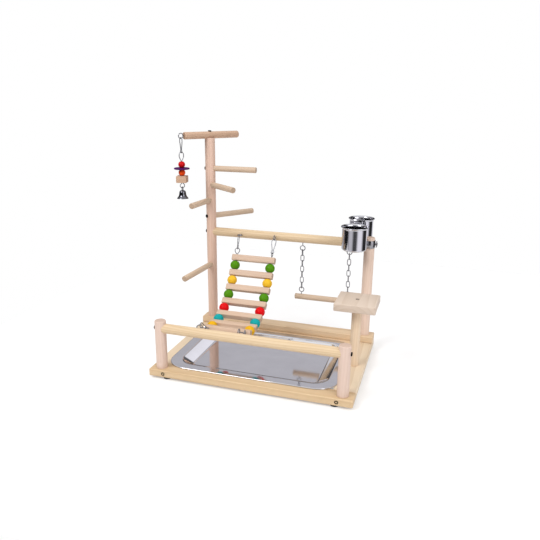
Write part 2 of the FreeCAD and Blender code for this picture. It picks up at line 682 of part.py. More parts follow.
def make_rung(number, point, upward):
    """One rung with two wire holes, its height along the ladder."""
    depth, height, edge = "rung_depth / 2", "rung_height / 2", "rung_edge"
    corners = [(f"{a}({depth} - {p})", f"{b}({height} - {q})") for a, b, p, q in (
        ("-", "-", "0", edge), ("-", "-", edge, "0"), ("", "-", edge, "0"), ("", "-", "0", edge),
        ("", "", "0", edge), ("", "", edge, "0"), ("-", "", edge, "0"), ("-", "", "0", edge))]
    label = f"rung_{number + 1}"
    bar = prism(label, "YZ_Plane", corners, "rung_length", midplane=True)
    place = Placement(point + Vector(size["ladder_centre"], 0, 0), facing(upward))
    bar.Placement = place
    bores = []
    hole, reach = size["ladder_hole"], size["rung_height"]
    for side in (-1, 1):
        middle = place.multVec(Vector(side * size["ladder_spacing"] / 2, 0, 0))
        bores.append(faceted(f"{label}_hole", [(0, -reach), (hole, -reach), (hole, reach),
                                               (0, reach)], 8, Placement(middle, facing(upward))))
    cut = doc.addObject("Part::Cut", f"{label}_cut")
    cut.Base = pieces.pop(label)
    cut.Tool = joined("Part::Compound", f"{label}_holes", bores)
    return cut


def bead(label, centre, way, radius, length, hole):
    """A wooden bead with ten flats round it, drilled through."""
    shares = (-1, -0.6, 0, 0.6, 1)
    half = size[length] / 2
    profile = [(math.sqrt(size[radius] ** 2 - (share * half) ** 2), share * half)
               for share in shares]
    profile = [(size[hole], -half)] + profile + [(size[hole], half)]
    pieces[label] = faceted(label, profile, 10, Placement(centre, facing(way)))


def make_beads(name, shift, mouths):
    """Six beads down one side of the ladder, each midway between two rungs."""
    for number, ((_, above), (below, _)) in enumerate(zip(mouths, mouths[1:]), start=1):
        bead(f"ladder_bead_{name}_{number}", shift + (above + below) * 0.5,
             (below - above).normalize(), "bead_radius", "bead_length", "bead_hole")


def make_string(name, string, ways, outwards, groups):
    """One ladder wire with a loop at each end, its clips and the eyes that carry them."""
    across = Vector(1, 0, 0)
    ends = []
    for which, centre, outward, rung, way, kind in (
            ("top", string[0], outwards[0], string[1], ways[0], "bar"),
            ("foot", string[-1], outwards[1], string[-2], ways[-1] * -1, "rail")):
        level = name == "left"
        side = across if level else outward.cross(across)
        eye = screw_eye(f"ladder_{kind}_eye_{name}", centre - outward * eye_reach(),
                        outward, side,
                        "main_bar" if kind == "bar" else "front_rail")
        groups[f"{kind}_eyes"].append(eye)
        hook = centre + (outward if level else way) * size["eye_radius"]
        end = rung - way * size["ladder_tail"]
        pull = (end - hook).normalize()
        flat = pull.cross(across).normalize()
        body, low = clip(f"ladder_{which}_clip_{name}", hook, pull, flat if level else across,
                         "eye_wire")
        groups["upper_clips" if which == "top" else "lower_clips"].append(body)
        loop = wire_loop(f"ladder_{which}_loop_{name}", low, end, across if level else flat,
                         "clip_wire", "ladder_wire")
        ends.append((loop, end))
    path = [ends[0][1]] + string[1:-1] + [ends[1][1]]
    run = bent_wire(f"ladder_run_{name}", path, "ladder_wire")
    groups["wires"].append(joined("Part::MultiFuse", f"ladder_wire_{name}",
                                  [run, ends[0][0], ends[1][0]]))


# ---------------------------------------------------------------------------------- swing

def link_points(centre, side, length, width):
    """A chain link's path: two straight sides and a blunt point at each end."""
    wide, tall = width / 2, length / 2
    side_end = tall - 0.7 * wide
    plan = [(0, tall), (wide, side_end), (wide, -side_end), (0, -tall), (-wide, -side_end),
            (-wide, side_end)]
    return [centre + side * u + Vector(0, 0, w) for u, w in plan]


def make_swing():
    """A trapeze perch on two chains under the main bar."""
    x_axis, y_axis, up = Vector(1, 0, 0), Vector(0, 1, 0), Vector(0, 0, 1)
    wire, count = size["chain_wire"], round(size["chain_links"])
    length, width = size["chain_link_length"] - 2 * wire, size["chain_link_width"] - 2 * wire
    bar_eyes, perch_eyes = [], []
    for name, side in (("left", -1), ("right", 1)):
        x = size["swing_centre"] + side * size["swing_spacing"] / 2
        under_bar = Vector(x, size["rear_line"], size["bar_height"] - size["bar_radius"])
        bar_eyes.append(screw_eye(f"swing_bar_eye_{name}", under_bar, up * -1, x_axis, "main_bar",
                                  "swing_bar_neck"))
        top = under_bar.z - eye_reach("swing_bar_neck") - size["eye_radius"]
        top += size["eye_wire"] + wire + size["hinge_gap"]
        links = []
        for number in range(count):
            centre = Vector(x, size["rear_line"], top - length / 2)
            lie = y_axis if number % 2 == 0 else x_axis
            links.append(bent_wire(f"swing_link_{name}_{number}",
                                   link_points(centre, lie, length, width), "chain_wire",
                                   closed=True))
            top += 2 * wire + size["link_play"] - length
        label = f"swing_chain_{name}"
        pieces[label] = joined("Part::Compound", label, links)
        low = top - 2 * wire - size["link_play"]
        hinge = low + wire + size["eye_wire"] + size["hinge_gap"]
        perch_top = hinge - size["eye_radius"] - eye_reach("swing_perch_neck")
        perch_eyes.append(screw_eye(f"swing_perch_eye_{name}",
                                    Vector(x, size["rear_line"], perch_top), up, x_axis,
                                    "swing_perch", "swing_perch_neck"))
    pieces["swing_bar_eyes"] = joined("Part::Compound", "swing_bar_eyes", bar_eyes)
    pieces["swing_perch_eyes"] = joined("Part::Compound", "swing_perch_eyes", perch_eyes)
    perch = dowel("swing_perch", "side_perch_radius", "swing_perch_length")
    start = Vector(size["swing_centre"] - size["swing_perch_length"] / 2, size["rear_line"],
                   perch_top - size["side_perch_radius"])
    perch.Placement = Placement(start, facing(x_axis))


# ---------------------------------------------------------------------------------- toy

def make_toy():
    """Beads, a disc and a wood block on a wire, clipped to the top perch, with a bell below."""
    direction = heading(size["top_perch_angle"]) * -1
    across = Vector(-direction.y, direction.x, 0)
    down = Vector(0, 0, -1)
    perch_end = tall_post_at(size["top_perch_height"]) + direction * size["top_perch_left"]
    pieces["toy_eye"] = screw_eye("toy_eye", perch_end, direction, down, "top_perch")
    hook = perch_end + direction * eye_reach() + down * size["eye_radius"]
    pieces["toy_clip"], low = clip("toy_clip", hook, down, across, "eye_wire")
    end = low + down * (size["toy_upper_loop"] - size["clip_wire"] - size["toy_wire"])
    upper = wire_loop("toy_upper_loop", low, end, direction, "clip_wire", "toy_wire")

    level = end
    stack = (("toy_bead_upper", "toy_bead_length"), ("toy_disc", "toy_disc_thick"),
             ("toy_bead_lower", "toy_bead_length"), ("toy_block", "toy_block_height"))
    centres = {}
    for label, height in stack:
        level = level + down * (size["toy_play"] + size[height] / 2)
        centres[label] = level
        level = level + down * (size[height] / 2)
    for label in ("toy_bead_upper", "toy_bead_lower"):
        bead(label, centres[label], down, "toy_bead_radius", "toy_bead_length", "toy_hole")
    make_toy_disc(centres["toy_disc"])
    make_toy_block(centres["toy_block"])

    level = level + down * size["toy_play"]
    turn_point = level + down * (size["toy_lower_loop"] - size["toy_wire"])
    lower = wire_loop("toy_lower_loop", turn_point - down * (2 * size["toy_wire"]
                      + size["hinge_gap"]), level, direction, "toy_wire", "toy_wire")
    run = bent_wire("toy_run", [end, level], "toy_wire")
    pieces["toy_wire"] = joined("Part::MultiFuse", "toy_wire", [upper, run, lower])
    make_bell(turn_point, across)


def make_toy_disc(centre):
    """A flat wooden disc with a bevelled rim."""
    half, radius = size["toy_disc_thick"] / 2, size["toy_disc_radius"]
    hole, edge = size["toy_hole"], size["toy_disc_thick"] / 3
    pieces["toy_disc"] = faceted("toy_disc", [
        (hole, -half), (radius - edge, -half), (radius, edge - half), (radius, half - edge),
        (radius - edge, half), (hole, half)], 24, Placement(centre, Rotation()))


def make_toy_block(centre):
    """A square wood block with bevelled corners."""
    half, edge = "toy_block_width / 2", "toy_block_edge"
    corners = []
    for a, b, first in (("-", "-", True), ("", "-", False), ("", "", True), ("-", "", False)):
        near = (f"{a}({half} - {edge})", f"{b}({half})")
        far = (f"{a}({half})", f"{b}({half} - {edge})")
        corners += [far, near] if first else [near, far]
    wood = prism("toy_block", "XY_Plane", corners, "toy_block_height")
    low = centre - Vector(0, 0, size["toy_block_height"] / 2)
    wood.Placement = Placement(low, Rotation(Vector(0, 0, 1), size["toy_block_turn"]))
    hole, reach = size["toy_hole"], size["toy_block_height"]
    bore("toy_block", "toy_block_hole", [(0, -reach), (hole, -reach), (hole, reach), (0, reach)],
         Placement(centre, Rotation()))


def make_bell(hinge, across):
    """A flared bell on a small loop, with a clapper inside."""
    up = Vector(0, 0, 1)
    wire = size["toy_wire"]
    loop_top = hinge.z + 2 * wire + size["hinge_gap"]
    crown = loop_top - size["bell_loop_length"] + wire
    base = Vector(hinge.x, hinge.y, crown - size["bell_height"])
    tall, thin, waist = size["bell_height"], size["bell_sheet"], size["bell_waist_radius"]
    mouth, crown_radius = size["bell_radius"], size["bell_crown_radius"]
    shell = faceted("bell_shell", [
        (0, tall), (0, tall - thin), (crown_radius - thin, tall - thin),
        (waist - thin, 0.72 * tall), (waist + 0.4 * thin, 0.24 * tall), (mouth - thin, 0),
        (mouth, 0), (waist + 1.4 * thin, 0.26 * tall), (waist, 0.75 * tall),
        (crown_radius, tall)], 16, Placement(base, Rotation()))
    half = size["bell_loop_width"] / 2 - wire
    centre = Vector(base.x, base.y, (loop_top + crown) / 2)
    rise = (loop_top - crown) / 2
    plan = [(half, -rise), (half, rise - half * 0.6), (half * 0.5, rise), (-half * 0.5, rise),
            (-half, rise - half * 0.6), (-half, -rise)]
    loop = bent_wire("bell_loop", [centre + across * u + up * w for u, w in plan], "toy_wire",
                     closed=True)
    pieces["toy_bell"] = joined("Part::MultiFuse", "toy_bell", [shell, loop])
    top = base + up * (size["bell_height"] - size["bell_sheet"] - size["hinge_gap"])
    rod, ball, low = size["clapper_rod"], size["clapper_ball"], -size["clapper_length"]
    pieces["toy_clapper"] = faceted("toy_clapper", [
        (0, 0), (rod, 0), (rod, low + 0.9 * ball), (0.7 * ball, low + 0.7 * ball), (ball, low),
        (0.7 * ball, low - 0.7 * ball), (0, low - ball)], 8, Placement(top, Rotation()))


# ---------------------------------------------------------------------------------- cups

def make_cup(label, side):
    """A steel cup with a flared rim and a bent hook that drops over the bracket's tab."""
    body = doc.addObject("PartDesign::Body", label)
    sketch = new_sketch(body, "XZ_Plane")
    outline(sketch, [
        ("0", "0"), ("cup_radius", "0"), ("cup_radius", "cup_height - cup_rim"),
        ("cup_rim_radius", "cup_height - cup_rim"), ("cup_rim_radius", "cup_height"),
        ("0", "cup_height")])
    solid = body.newObject("PartDesign::Revolution", f"{label}_turn")
    solid.Profile = sketch
    solid.ReferenceAxis = (sketch, ["V_Axis"])
    solid.Angle = 360
    hook = new_sketch(body, "YZ_Plane")
    inner, near, far = "cup_radius - 5", "hook_slot - hook_sheet", "hook_slot"
    lip_near = "cup_offset - bracket_inner + rest_gap"
    lip_far = f"{lip_near} + hook_sheet"
    low, high, top = "cup_height * 0.2", "cup_height * 0.76", "hook_top"
    outline(hook, [
        (inner, low), (far, low), (far, top), (lip_near, top), (lip_near, f"{top} - hook_lip"),
        (lip_far, f"{top} - hook_lip"), (lip_far, f"{top} + hook_sheet"),
        (near, f"{top} + hook_sheet"), (near, f"{high} + hook_leg"), (inner, f"{high} + hook_leg"),
        (inner, high), (near, high), (near, f"{low} + hook_leg"), (inner, f"{low} + hook_leg")])
    add_pad(body, hook, "hook_width", midplane=True)
    hollow = new_sketch(body, "XZ_Plane")
    outline(hollow, [("0", "cup_sheet"), ("cup_radius - cup_sheet", "cup_sheet"),
                     ("cup_radius - cup_sheet", "cup_height + 1"), ("0", "cup_height + 1")])
    groove = body.newObject("PartDesign::Groove", f"{label}_hollow")
    groove.Profile = hollow
    groove.ReferenceAxis = (hollow, ["V_Axis"])
    groove.Angle = 360
    place = Vector(size["cup_line"], size["rear_line"] + side * size["cup_offset"],
                   size["cup_bottom"])
    body.Placement = Placement(place, Rotation(Vector(0, 0, 1), 0 if side < 0 else 180))
    pieces[label] = body


def make_bracket():
    """A U strap round the rear post with two upright tabs, one for each cup."""
    x, y = size["post_line"], size["rear_line"]
    low = size["bracket_bottom"]
    up = Vector(0, 0, 1)

    def slab(name, length, width, height, **place):
        box = doc.addObject("Part::Box", name)
        return bind(box, Length=length, Width=width, Height=height, **place)

    def shell(name, radius, extra):
        arm = slab(f"{name}_arms", f"bracket_arm + {extra}", f"2 * {radius}", "bracket_height",
                   x=f"post_line - bracket_arm - {extra}", y=f"rear_line - {radius}",
                   z="bracket_bottom")
        bend = cylinder(f"{name}_bend", radius, "bracket_height", Vector(x, y, low), up)
        return joined("Part::MultiFuse", name, [arm, bend])

    outer = shell("bracket_outer_form", "bracket_outer", "0")
    tab_x = "post_line - bracket_arm"
    plate_top = "tab_top - bracket_bottom - tab_width / 2"
    sides = [outer]
    for name, place in (("front", "rear_line - bracket_outer"),
                        ("rear", "rear_line + bracket_inner")):
        sides.append(slab(f"tab_{name}", "tab_width", "bracket_sheet", plate_top, x=tab_x, y=place,
                          z="bracket_bottom"))
        start = -size["bracket_outer"] if name == "front" else size["bracket_inner"]
        crown = Vector(x - size["bracket_arm"] + size["tab_width"] / 2, y + start,
                       size["tab_top"] - size["tab_width"] / 2)
        sides.append(cylinder(f"tab_crown_{name}", "tab_width / 2", "bracket_sheet", crown,
                              Vector(0, 1, 0)))
    whole = joined("Part::MultiFuse", "bracket_form", sides)
    hollow = shell("bracket_inner_form", "bracket_inner", "1")
    opened = doc.addObject("Part::Cut", "bracket_opened")
    opened.Base = whole
    opened.Tool = hollow
    pieces["cup_bracket"] = opened
    bolt = Vector(x, y, size["bar_height"])
    hole, reach = size["wing_hole"], 2 * size["bracket_outer"]
    depth = -(size["post_radius"] + size["wing_screw_bite"] + size["rest_gap"])
    for label in ("cup_bracket", "rear_post", "main_bar"):
        near = 0 if label == "cup_bracket" else depth
        bore(label, f"{label}_wing_hole", [(0, near), (hole, near), (hole, reach), (0, reach)],
             Placement(bolt, facing(Vector(1, 0, 0))))


def make_wing_screw():
    """The wing screw that clamps the bracket and runs through the rear post into the bar."""
    outward = Vector(1, 0, 0)
    bolt = Vector(size["post_line"], size["rear_line"], size["bar_height"])
    face = bolt + outward * (size["bracket_outer"] + size["rest_gap"])
    depth = size["post_radius"] + size["wing_screw_bite"]
    shank, boss, length = (size[key] for key in ("wing_screw_radius", "wing_boss_radius",
                                                 "wing_boss_length"))
    near = size["bracket_outer"] + size["rest_gap"]
    stem = faceted("wing_stem", [(0, -depth), (shank, -depth), (shank, near), (boss, near),
                                 (boss, near + length), (0, near + length)], 12,
                   Placement(bolt, facing(outward)))
    half, root = "wing_span / 2", "wing_boss_radius / 2"
    wings = prism("wings", "YZ_Plane", [
        (f"-{root}", "0 - wing_boss_radius * 0.6"), (root, "0 - wing_boss_radius * 0.6"),
        (f"{half} * 0.4", half), (f"-{half} * 0.4", half)], "wing_thick")
    lower = prism("wings_lower", "YZ_Plane", [
        (f"-{root}", "wing_boss_radius * 0.6"), (root, "wing_boss_radius * 0.6"),
        (f"{half} * 0.4", f"-{half}"), (f"-{half} * 0.4", f"-{half}")], "wing_thick")
    for blade in (wings, lower):
        pieces.pop(blade.Name)
        blade.Placement = Placement(face + outward * ((size["wing_boss_length"]
                                    - size["wing_thick"]) / 2), Rotation())
    pieces["bracket_wing_screw"] = joined("Part::MultiFuse", "bracket_wing_screw",
                                          [stem, wings, lower])


# ---------------------------------------------------------------------------------- whole stand

def build():
    """Make every sub-part."""
    fill_sheet()
    make_boards()
    make_feet()
    make_posts()
    make_crossbar("front_rail", "rail_radius", "rail_height", "front_line")
    make_crossbar("main_bar", "bar_radius", "bar_height", "rear_line")
    make_side_perches()
    make_top_perch()
    make_platform()
    make_frame_screws()
    make_tray()
    make_ladder()
    make_swing()
    make_toy()
    make_cup("cup_front", -1)
    make_cup("cup_rear", 1)
    make_bracket()
    make_wing_screw()
    pieces["post_screws"] = joined("Part::Compound", "post_screws", pan_screws)
    pieces["board_screws"] = joined("Part::Compound", "board_screws", flat_screws)
    cut_tools()
    doc.recompute()


def check_and_export():
    """Stop on a failed feature or a bad shape, then write one STEP file for each sub-part."""
    for item in doc.Objects:
        if "Invalid" in item.State or "Error" in item.State:
            raise RuntimeError(f"{item.Name} failed: {item.State}")
    for label, piece in pieces.items():
        if piece.Shape.isNull() or not piece.Shape.isValid() or not piece.Shape.Solids:
            raise RuntimeError(f"{label} has no valid solid")
    os.makedirs("parts", exist_ok=True)
    for label, piece in pieces.items():
        if piece.Label != label:
            for other in doc.getObjectsByLabel(label):
                other.Label = f"{label}_blank"
            piece.Label = label
        piece.Shape.exportStep(f"parts/{label}.step")
    print(f"{len(pieces)} sub-parts written")


build()
check_and_export()
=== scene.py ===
import json
import math

import bmesh
import bpy
from mathutils import Matrix, Vector


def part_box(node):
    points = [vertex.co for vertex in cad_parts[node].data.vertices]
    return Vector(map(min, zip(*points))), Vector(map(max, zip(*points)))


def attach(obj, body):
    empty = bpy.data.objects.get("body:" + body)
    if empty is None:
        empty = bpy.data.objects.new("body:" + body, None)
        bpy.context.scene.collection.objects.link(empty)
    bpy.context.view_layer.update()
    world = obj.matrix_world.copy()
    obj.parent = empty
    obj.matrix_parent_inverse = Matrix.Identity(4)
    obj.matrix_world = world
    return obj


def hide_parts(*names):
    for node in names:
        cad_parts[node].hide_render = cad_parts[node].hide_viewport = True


# A parrot play stand in pale pine, with a mirror bright tray, two steel cups, a bead ladder, a
# chain swing and a bead toy with a bell.  Pieces are shaped in millimetres and set down in metres,
# where the frame's own boxes say.

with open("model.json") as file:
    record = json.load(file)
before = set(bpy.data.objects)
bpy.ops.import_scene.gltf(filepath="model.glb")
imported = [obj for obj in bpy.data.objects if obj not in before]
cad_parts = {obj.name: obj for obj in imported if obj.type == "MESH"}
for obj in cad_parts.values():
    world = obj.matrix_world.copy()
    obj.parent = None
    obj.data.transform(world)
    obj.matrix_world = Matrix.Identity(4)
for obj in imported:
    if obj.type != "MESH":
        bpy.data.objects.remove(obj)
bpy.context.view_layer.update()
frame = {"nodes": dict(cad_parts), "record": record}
MM = 0.001
X, Y, Z = Vector((1, 0, 0)), Vector((0, 1, 0)), Vector((0, 0, 1))
rides_on = {node: body for body, nodes in frame["record"]["behaviour"]["bodies"].items()
            for node in nodes}


def corners(node):
    """A node's lowest and highest corners in millimetres."""
    low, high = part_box(node)
    return Vector(low) / MM, Vector(high) / MM


def middle(node):
    """The middle of a node's box in millimetres."""
    low, high = corners(node)
    return (low + high) / 2


def half_size(node):
    """Half the size of a node's box in millimetres."""
    low, high = corners(node)
    return (high - low) / 2


def underside(node):
    """The middle of the underside of a node's box."""
    return middle(node) - Z * half_size(node).z


# ---- putting pieces down

def axes(x, y, z):
    """The turn that brings the three axes to these."""
    return Matrix((x, y, z)).transposed().to_4x4()


def aim(direction, across=None):
    """The turn that brings Z to the direction and X near to the other vector."""
    z = direction.normalized()
    if across is None:
        across = Y if abs(z.x) > 0.9 else X
    y = z.cross(across).normalized()
    return axes(y.cross(z), y, z)


def at(place, direction=Z, across=None):
    """The matrix that sets a shape down at a place, its Z along a direction."""
    return Matrix.Translation(place) @ aim(direction, across)


def placed(shape, place):
    """A bmesh taken through a matrix."""
    bmesh.ops.transform(shape, matrix=place, verts=shape.verts)
    return shape


def put(shape, name, material, nodes, place=None, smooth=40):
    """Make a piece of a bmesh: it stands for CAD nodes and rides on their body."""
    if place is not None:
        placed(shape, place)
    bmesh.ops.scale(shape, vec=(MM, MM, MM), verts=shape.verts)
    mesh = bpy.data.meshes.new(name)
    shape.to_mesh(mesh)
    shape.free()
    mesh.shade_smooth()
    mesh.set_sharp_from_angle(angle=math.radians(smooth))
    mesh.materials.append(material)
    piece = bpy.data.objects.new(name, mesh)
    bpy.context.scene.collection.objects.link(piece)
    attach(piece, rides_on[nodes[0]])
    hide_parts(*nodes)


def tidy(shape):
    """Merge doubles and point the faces outwards."""
    bmesh.ops.remove_doubles(shape, verts=shape.verts, dist=0.001)
    bmesh.ops.recalc_face_normals(shape, faces=shape.faces)
    return shape


def joined(shapes):
    """One bmesh of several."""
    whole = bmesh.new()
    for shape in shapes:
        mesh = bpy.data.meshes.new("part")
        shape.to_mesh(mesh)
        shape.free()
        whole.from_mesh(mesh)
        bpy.data.meshes.remove(mesh)
    return whole


# ---- basic shapes

SHARP = 1.1  # the least turn between two faces that meet at a rim, in radians


def lathe(profile, steps=48):
    """A turned form: (radius, height) pairs spun round Z."""
    shape = bmesh.new()
    verts = [shape.verts.new((radius, 0, height)) for radius, height in profile]
    edges = [shape.edges.new(pair) for pair in zip(verts, verts[1:])]
    bmesh.ops.spin(shape, geom=verts + edges, cent=(0, 0, 0), axis=(0, 0, 1),
                   angle=math.tau, steps=steps, use_merge=True)
    return tidy(shape)


def arc(radius, height, bend, start, end, steps=5):
    """Points of a quarter or other arc of a profile, about (radius, height); angles in degrees."""
    turns = [math.radians(start + (end - start) * k / steps) for k in range(steps + 1)]
    return [(radius + bend * math.cos(turn), height + bend * math.sin(turn)) for turn in turns]


def rod(length, radius, near=0.8, far=0.8, steps=48):
    """A dowel along Z with eased ends."""
    profile = [(0, 0)] + arc(radius - near, near, near, -90, 0, 4)
    profile += arc(radius - far, length - far, far, 0, 90, 4) + [(0, length)]
    return lathe(profile, steps)


def block(low, high, ease, segments=3):
    """A board or block with rounded edges."""
    shape = bmesh.new()
    bmesh.ops.create_cube(shape, size=1)
    bmesh.ops.scale(shape, vec=high - low, verts=shape.verts)
    bmesh.ops.translate(shape, vec=(low + high) / 2, verts=shape.verts)
    bmesh.ops.bevel(shape, geom=shape.edges[:], offset=ease, affect="EDGES", segments=segments,
                    profile=0.5, material=-1)
    return shape


def drawn_out(made, shape, way):
    """Move the freshly extruded corners of a shape."""
    fresh = [item for item in made["geom"] if isinstance(item, bmesh.types.BMVert)]
    bmesh.ops.translate(shape, vec=way, verts=fresh)
    bmesh.ops.recalc_face_normals(shape, faces=shape.faces)


def eased(shape, ease, segments=2):
    """Round off the rims of a sheet metal shape."""
    rims = [edge for edge in shape.edges if edge.calc_face_angle(0) > SHARP]
    bmesh.ops.bevel(shape, geom=rims, offset=ease, affect="EDGES", segments=segments,
                    profile=0.5, material=-1)
    return shape


def strap(path, width, thick, ease=0.25):
    """A bent metal strip: a side view path in Y and Z, drawn out along X and given a thickness."""
    shape = bmesh.new()
    verts = [shape.verts.new((-width / 2, y, z)) for y, z in path]
    edges = [shape.edges.new(pair) for pair in zip(verts, verts[1:])]
    drawn_out(bmesh.ops.extrude_edge_only(shape, edges=edges), shape, X * width)
    bmesh.ops.solidify(shape, geom=shape.faces[:], thickness=thick)
    bmesh.ops.recalc_face_normals(shape, faces=shape.faces)
    return eased(shape, ease)


def plate(outline, thick, ease, segments=2):
    """A flat face drawn out along Z."""
    drawn_out(bmesh.ops.extrude_face_region(outline, geom=outline.faces[:]), outline, Z * thick)
    return eased(outline, ease, segments)


def wires(name, runs, radius, material, nodes, extra=()):
    """Smooth round wires through (points, closed) runs, joined with other shapes as one piece."""
    curve = bpy.data.curves.new(name, "CURVE")
    curve.dimensions = "3D"
    curve.bevel_depth = radius * MM
    curve.bevel_resolution = 3
    curve.resolution_u = 6
    curve.use_fill_caps = True
    for points, closed in runs:
        spline = curve.splines.new("BEZIER")
        spline.bezier_points.add(len(points) - 1)
        for knot, point in zip(spline.bezier_points, points):
            knot.co = point * MM
            knot.handle_left_type = knot.handle_right_type = "AUTO"
        spline.use_cyclic_u = closed
    holder = bpy.data.objects.new(name, curve)
    bpy.context.scene.collection.objects.link(holder)
    mesh = bpy.data.meshes.new_from_object(holder.evaluated_get(
        bpy.context.evaluated_depsgraph_get()))
    bpy.data.objects.remove(holder)
    bpy.data.curves.remove(curve)
    whole = bmesh.new()
    whole.from_mesh(mesh)
    bpy.data.meshes.remove(mesh)
    bmesh.ops.scale(whole, vec=(1 / MM,) * 3, verts=whole.verts)
    put(joined([whole, *extra]), name, material, nodes)


def ring(centre, radius, first, second, count=12):
    """Points of a round ring in the plane of two unit vectors."""
    turns = [math.tau * k / count for k in range(count)]
    return [centre + first * (radius * math.cos(turn)) + second * (radius * math.sin(turn))
            for turn in turns]


# ---- materials

def group(name, inputs, outputs):
    """An empty node group with typed sockets, and its two end nodes."""
    tree = bpy.data.node_groups.new(name, "ShaderNodeTree")
    for label, kind, value in inputs:
        socket = tree.interface.new_socket(name=label, in_out="INPUT", socket_type=kind)
        if value is not None:
            socket.default_value = value
    for label, kind in outputs:
        tree.interface.new_socket(name=label, in_out="OUTPUT", socket_type=kind)
    return tree, tree.nodes.new("NodeGroupInput"), tree.nodes.new("NodeGroupOutput")


def node(tree, kind, links=(), **values):
    """A node with its settings and its linked or plain inputs."""
    made = tree.nodes.new(kind)
    for key, value in values.items():
        setattr(made, key, value)
    for socket, source in dict(links).items():
        if isinstance(source, bpy.types.NodeSocket):
            tree.links.new(source, made.inputs[socket])
        else:
            made.inputs[socket].default_value = source
    return made


def maths(tree, operation, *values, **settings):
    """The result of a math node."""
    return node(tree, "ShaderNodeMath", dict(enumerate(values)), operation=operation,
                **settings).outputs[0]


def blend(tree, factor, first, second):
    """A colour between two others."""
    return node(tree, "ShaderNodeMix", {"Factor": factor, 6: first, 7: second},
                data_type="RGBA").outputs[2]


def product(tree, vector, scale):
    """Two vectors multiplied part by part."""
    return node(tree, "ShaderNodeVectorMath", {0: vector, 1: scale},
                operation="MULTIPLY").outputs[0]


def noise(tree, vector, scale, detail, roughness=0.5):
    """Noise of its own scale along each axis."""
    return node(tree, "ShaderNodeTexNoise", {"Vector": product(tree, vector, scale), "Scale": 1.0,
                                             "Detail": detail, "Roughness": roughness}).outputs


def wood_grain():
    """Growth rings, fibres, knots and broad tints of soft pale wood; Z runs along the grain."""
    colour, number = "NodeSocketColor", "NodeSocketFloat"
    tree, given, out = group("wood grain", [
        ("Vector", "NodeSocketVector", None), ("Pale", colour, (0.8, 0.6, 0.4, 1)),
        ("Dark", colour, (0.6, 0.4, 0.2, 1)), ("Ring scale", number, 60.0),
        ("Ring strength", number, 0.5), ("Fibre strength", number, 0.3),
        ("Knots", number, 0.0)], [("Color", colour), ("Roughness", number), ("Height", number)])
    vector = given.outputs["Vector"]
    drift = product(tree, noise(tree, vector, (14, 14, 3), 2.0)["Color"], (0.02, 0.02, 0))
    warped = node(tree, "ShaderNodeVectorMath", {0: vector, 1: drift}, operation="ADD").outputs[0]
    rings = node(tree, "ShaderNodeTexWave", {"Vector": product(tree, warped, (1, 1, 0.06)),
                                             "Scale": given.outputs["Ring scale"],
                                             "Distortion": 1.2, "Detail": 1.0},
                 wave_type="RINGS", rings_direction="Z", wave_profile="SAW")
    late_wood = maths(tree, "POWER", rings.outputs["Fac"], 2.2)
    by_ring = maths(tree, "MULTIPLY", late_wood, given.outputs["Ring strength"])
    fibre = noise(tree, vector, (1100, 1100, 22), 3.0, 0.6)["Fac"]
    by_fibre = maths(tree, "MULTIPLY", maths(tree, "SUBTRACT", fibre, 0.45),
                     given.outputs["Fibre strength"])
    tint = noise(tree, vector, (26, 26, 7), 1.0)["Fac"]
    broad = maths(tree, "MULTIPLY_ADD", tint, 0.35, -0.12)
    share = maths(tree, "ADD", maths(tree, "ADD", by_ring, by_fibre), broad, use_clamp=True)
    knots = node(tree, "ShaderNodeTexVoronoi", {"Vector": product(tree, warped, (26, 26, 7)),
                                                "Scale": 1.0, "Randomness": 1.0})
    spot = node(tree, "ShaderNodeMapRange", {"Value": knots.outputs["Distance"], "From Min": 0.05,
                                             "From Max": 0.16, "To Min": 1.0, "To Max": 0.0})
    by_knot = maths(tree, "MULTIPLY", spot.outputs[0], given.outputs["Knots"])
    total = maths(tree, "MAXIMUM", share, by_knot)
    rough = node(tree, "ShaderNodeMapRange", {"Value": total, "To Min": 0.5, "To Max": 0.64})
    tree.links.new(blend(tree, total, given.outputs["Pale"], given.outputs["Dark"]),
                   out.inputs["Color"])
    tree.links.new(rough.outputs[0], out.inputs["Roughness"])
    tree.links.new(by_fibre, out.inputs["Height"])
    return tree


def metal_wear():
    """Faint smears and fine rolling lines on bright metal."""
    number = "NodeSocketFloat"
    tree, given, out = group("metal wear", [
        ("Vector", "NodeSocketVector", None), ("Base roughness", number, 0.1),
        ("Smear", number, 0.08), ("Line scale", "NodeSocketVector", (40, 1500, 40))],
        [("Roughness", number), ("Height", number), ("Mask", number)])
    vector = given.outputs["Vector"]
    smear = noise(tree, vector, (22, 30, 22), 4.0, 0.55)["Fac"]
    lines = noise(tree, vector, given.outputs["Line scale"], 2.0)["Fac"]
    rough = maths(tree, "MULTIPLY_ADD", smear, given.outputs["Smear"],
                  given.outputs["Base roughness"])
    tree.links.new(rough, out.inputs["Roughness"])
    tree.links.new(lines, out.inputs["Height"])
    tree.links.new(smear, out.inputs["Mask"])
    return tree


GRAIN = wood_grain()
WEAR = metal_wear()


def new_material(name, **settings):
    """A material with a Principled shader; plain settings go on its own sockets."""
    material = bpy.data.materials.new(name)
    material.use_nodes = True
    shader = material.node_tree.nodes["Principled BSDF"]
    for key, value in settings.items():
        shader.inputs[key.replace("_", " ")].default_value = value
    return material, material.node_tree, shader


def located(tree, centre, direction):
    """Object coordinates turned so that Z runs along a direction through a centre."""
    place = node(tree, "ShaderNodeTexCoord").outputs["Object"]
    turn = aim(direction).to_euler()
    return node(tree, "ShaderNodeMapping", {"Vector": place, "Location": centre * MM,
                                            "Rotation": turn},
                vector_type="TEXTURE").outputs[0]


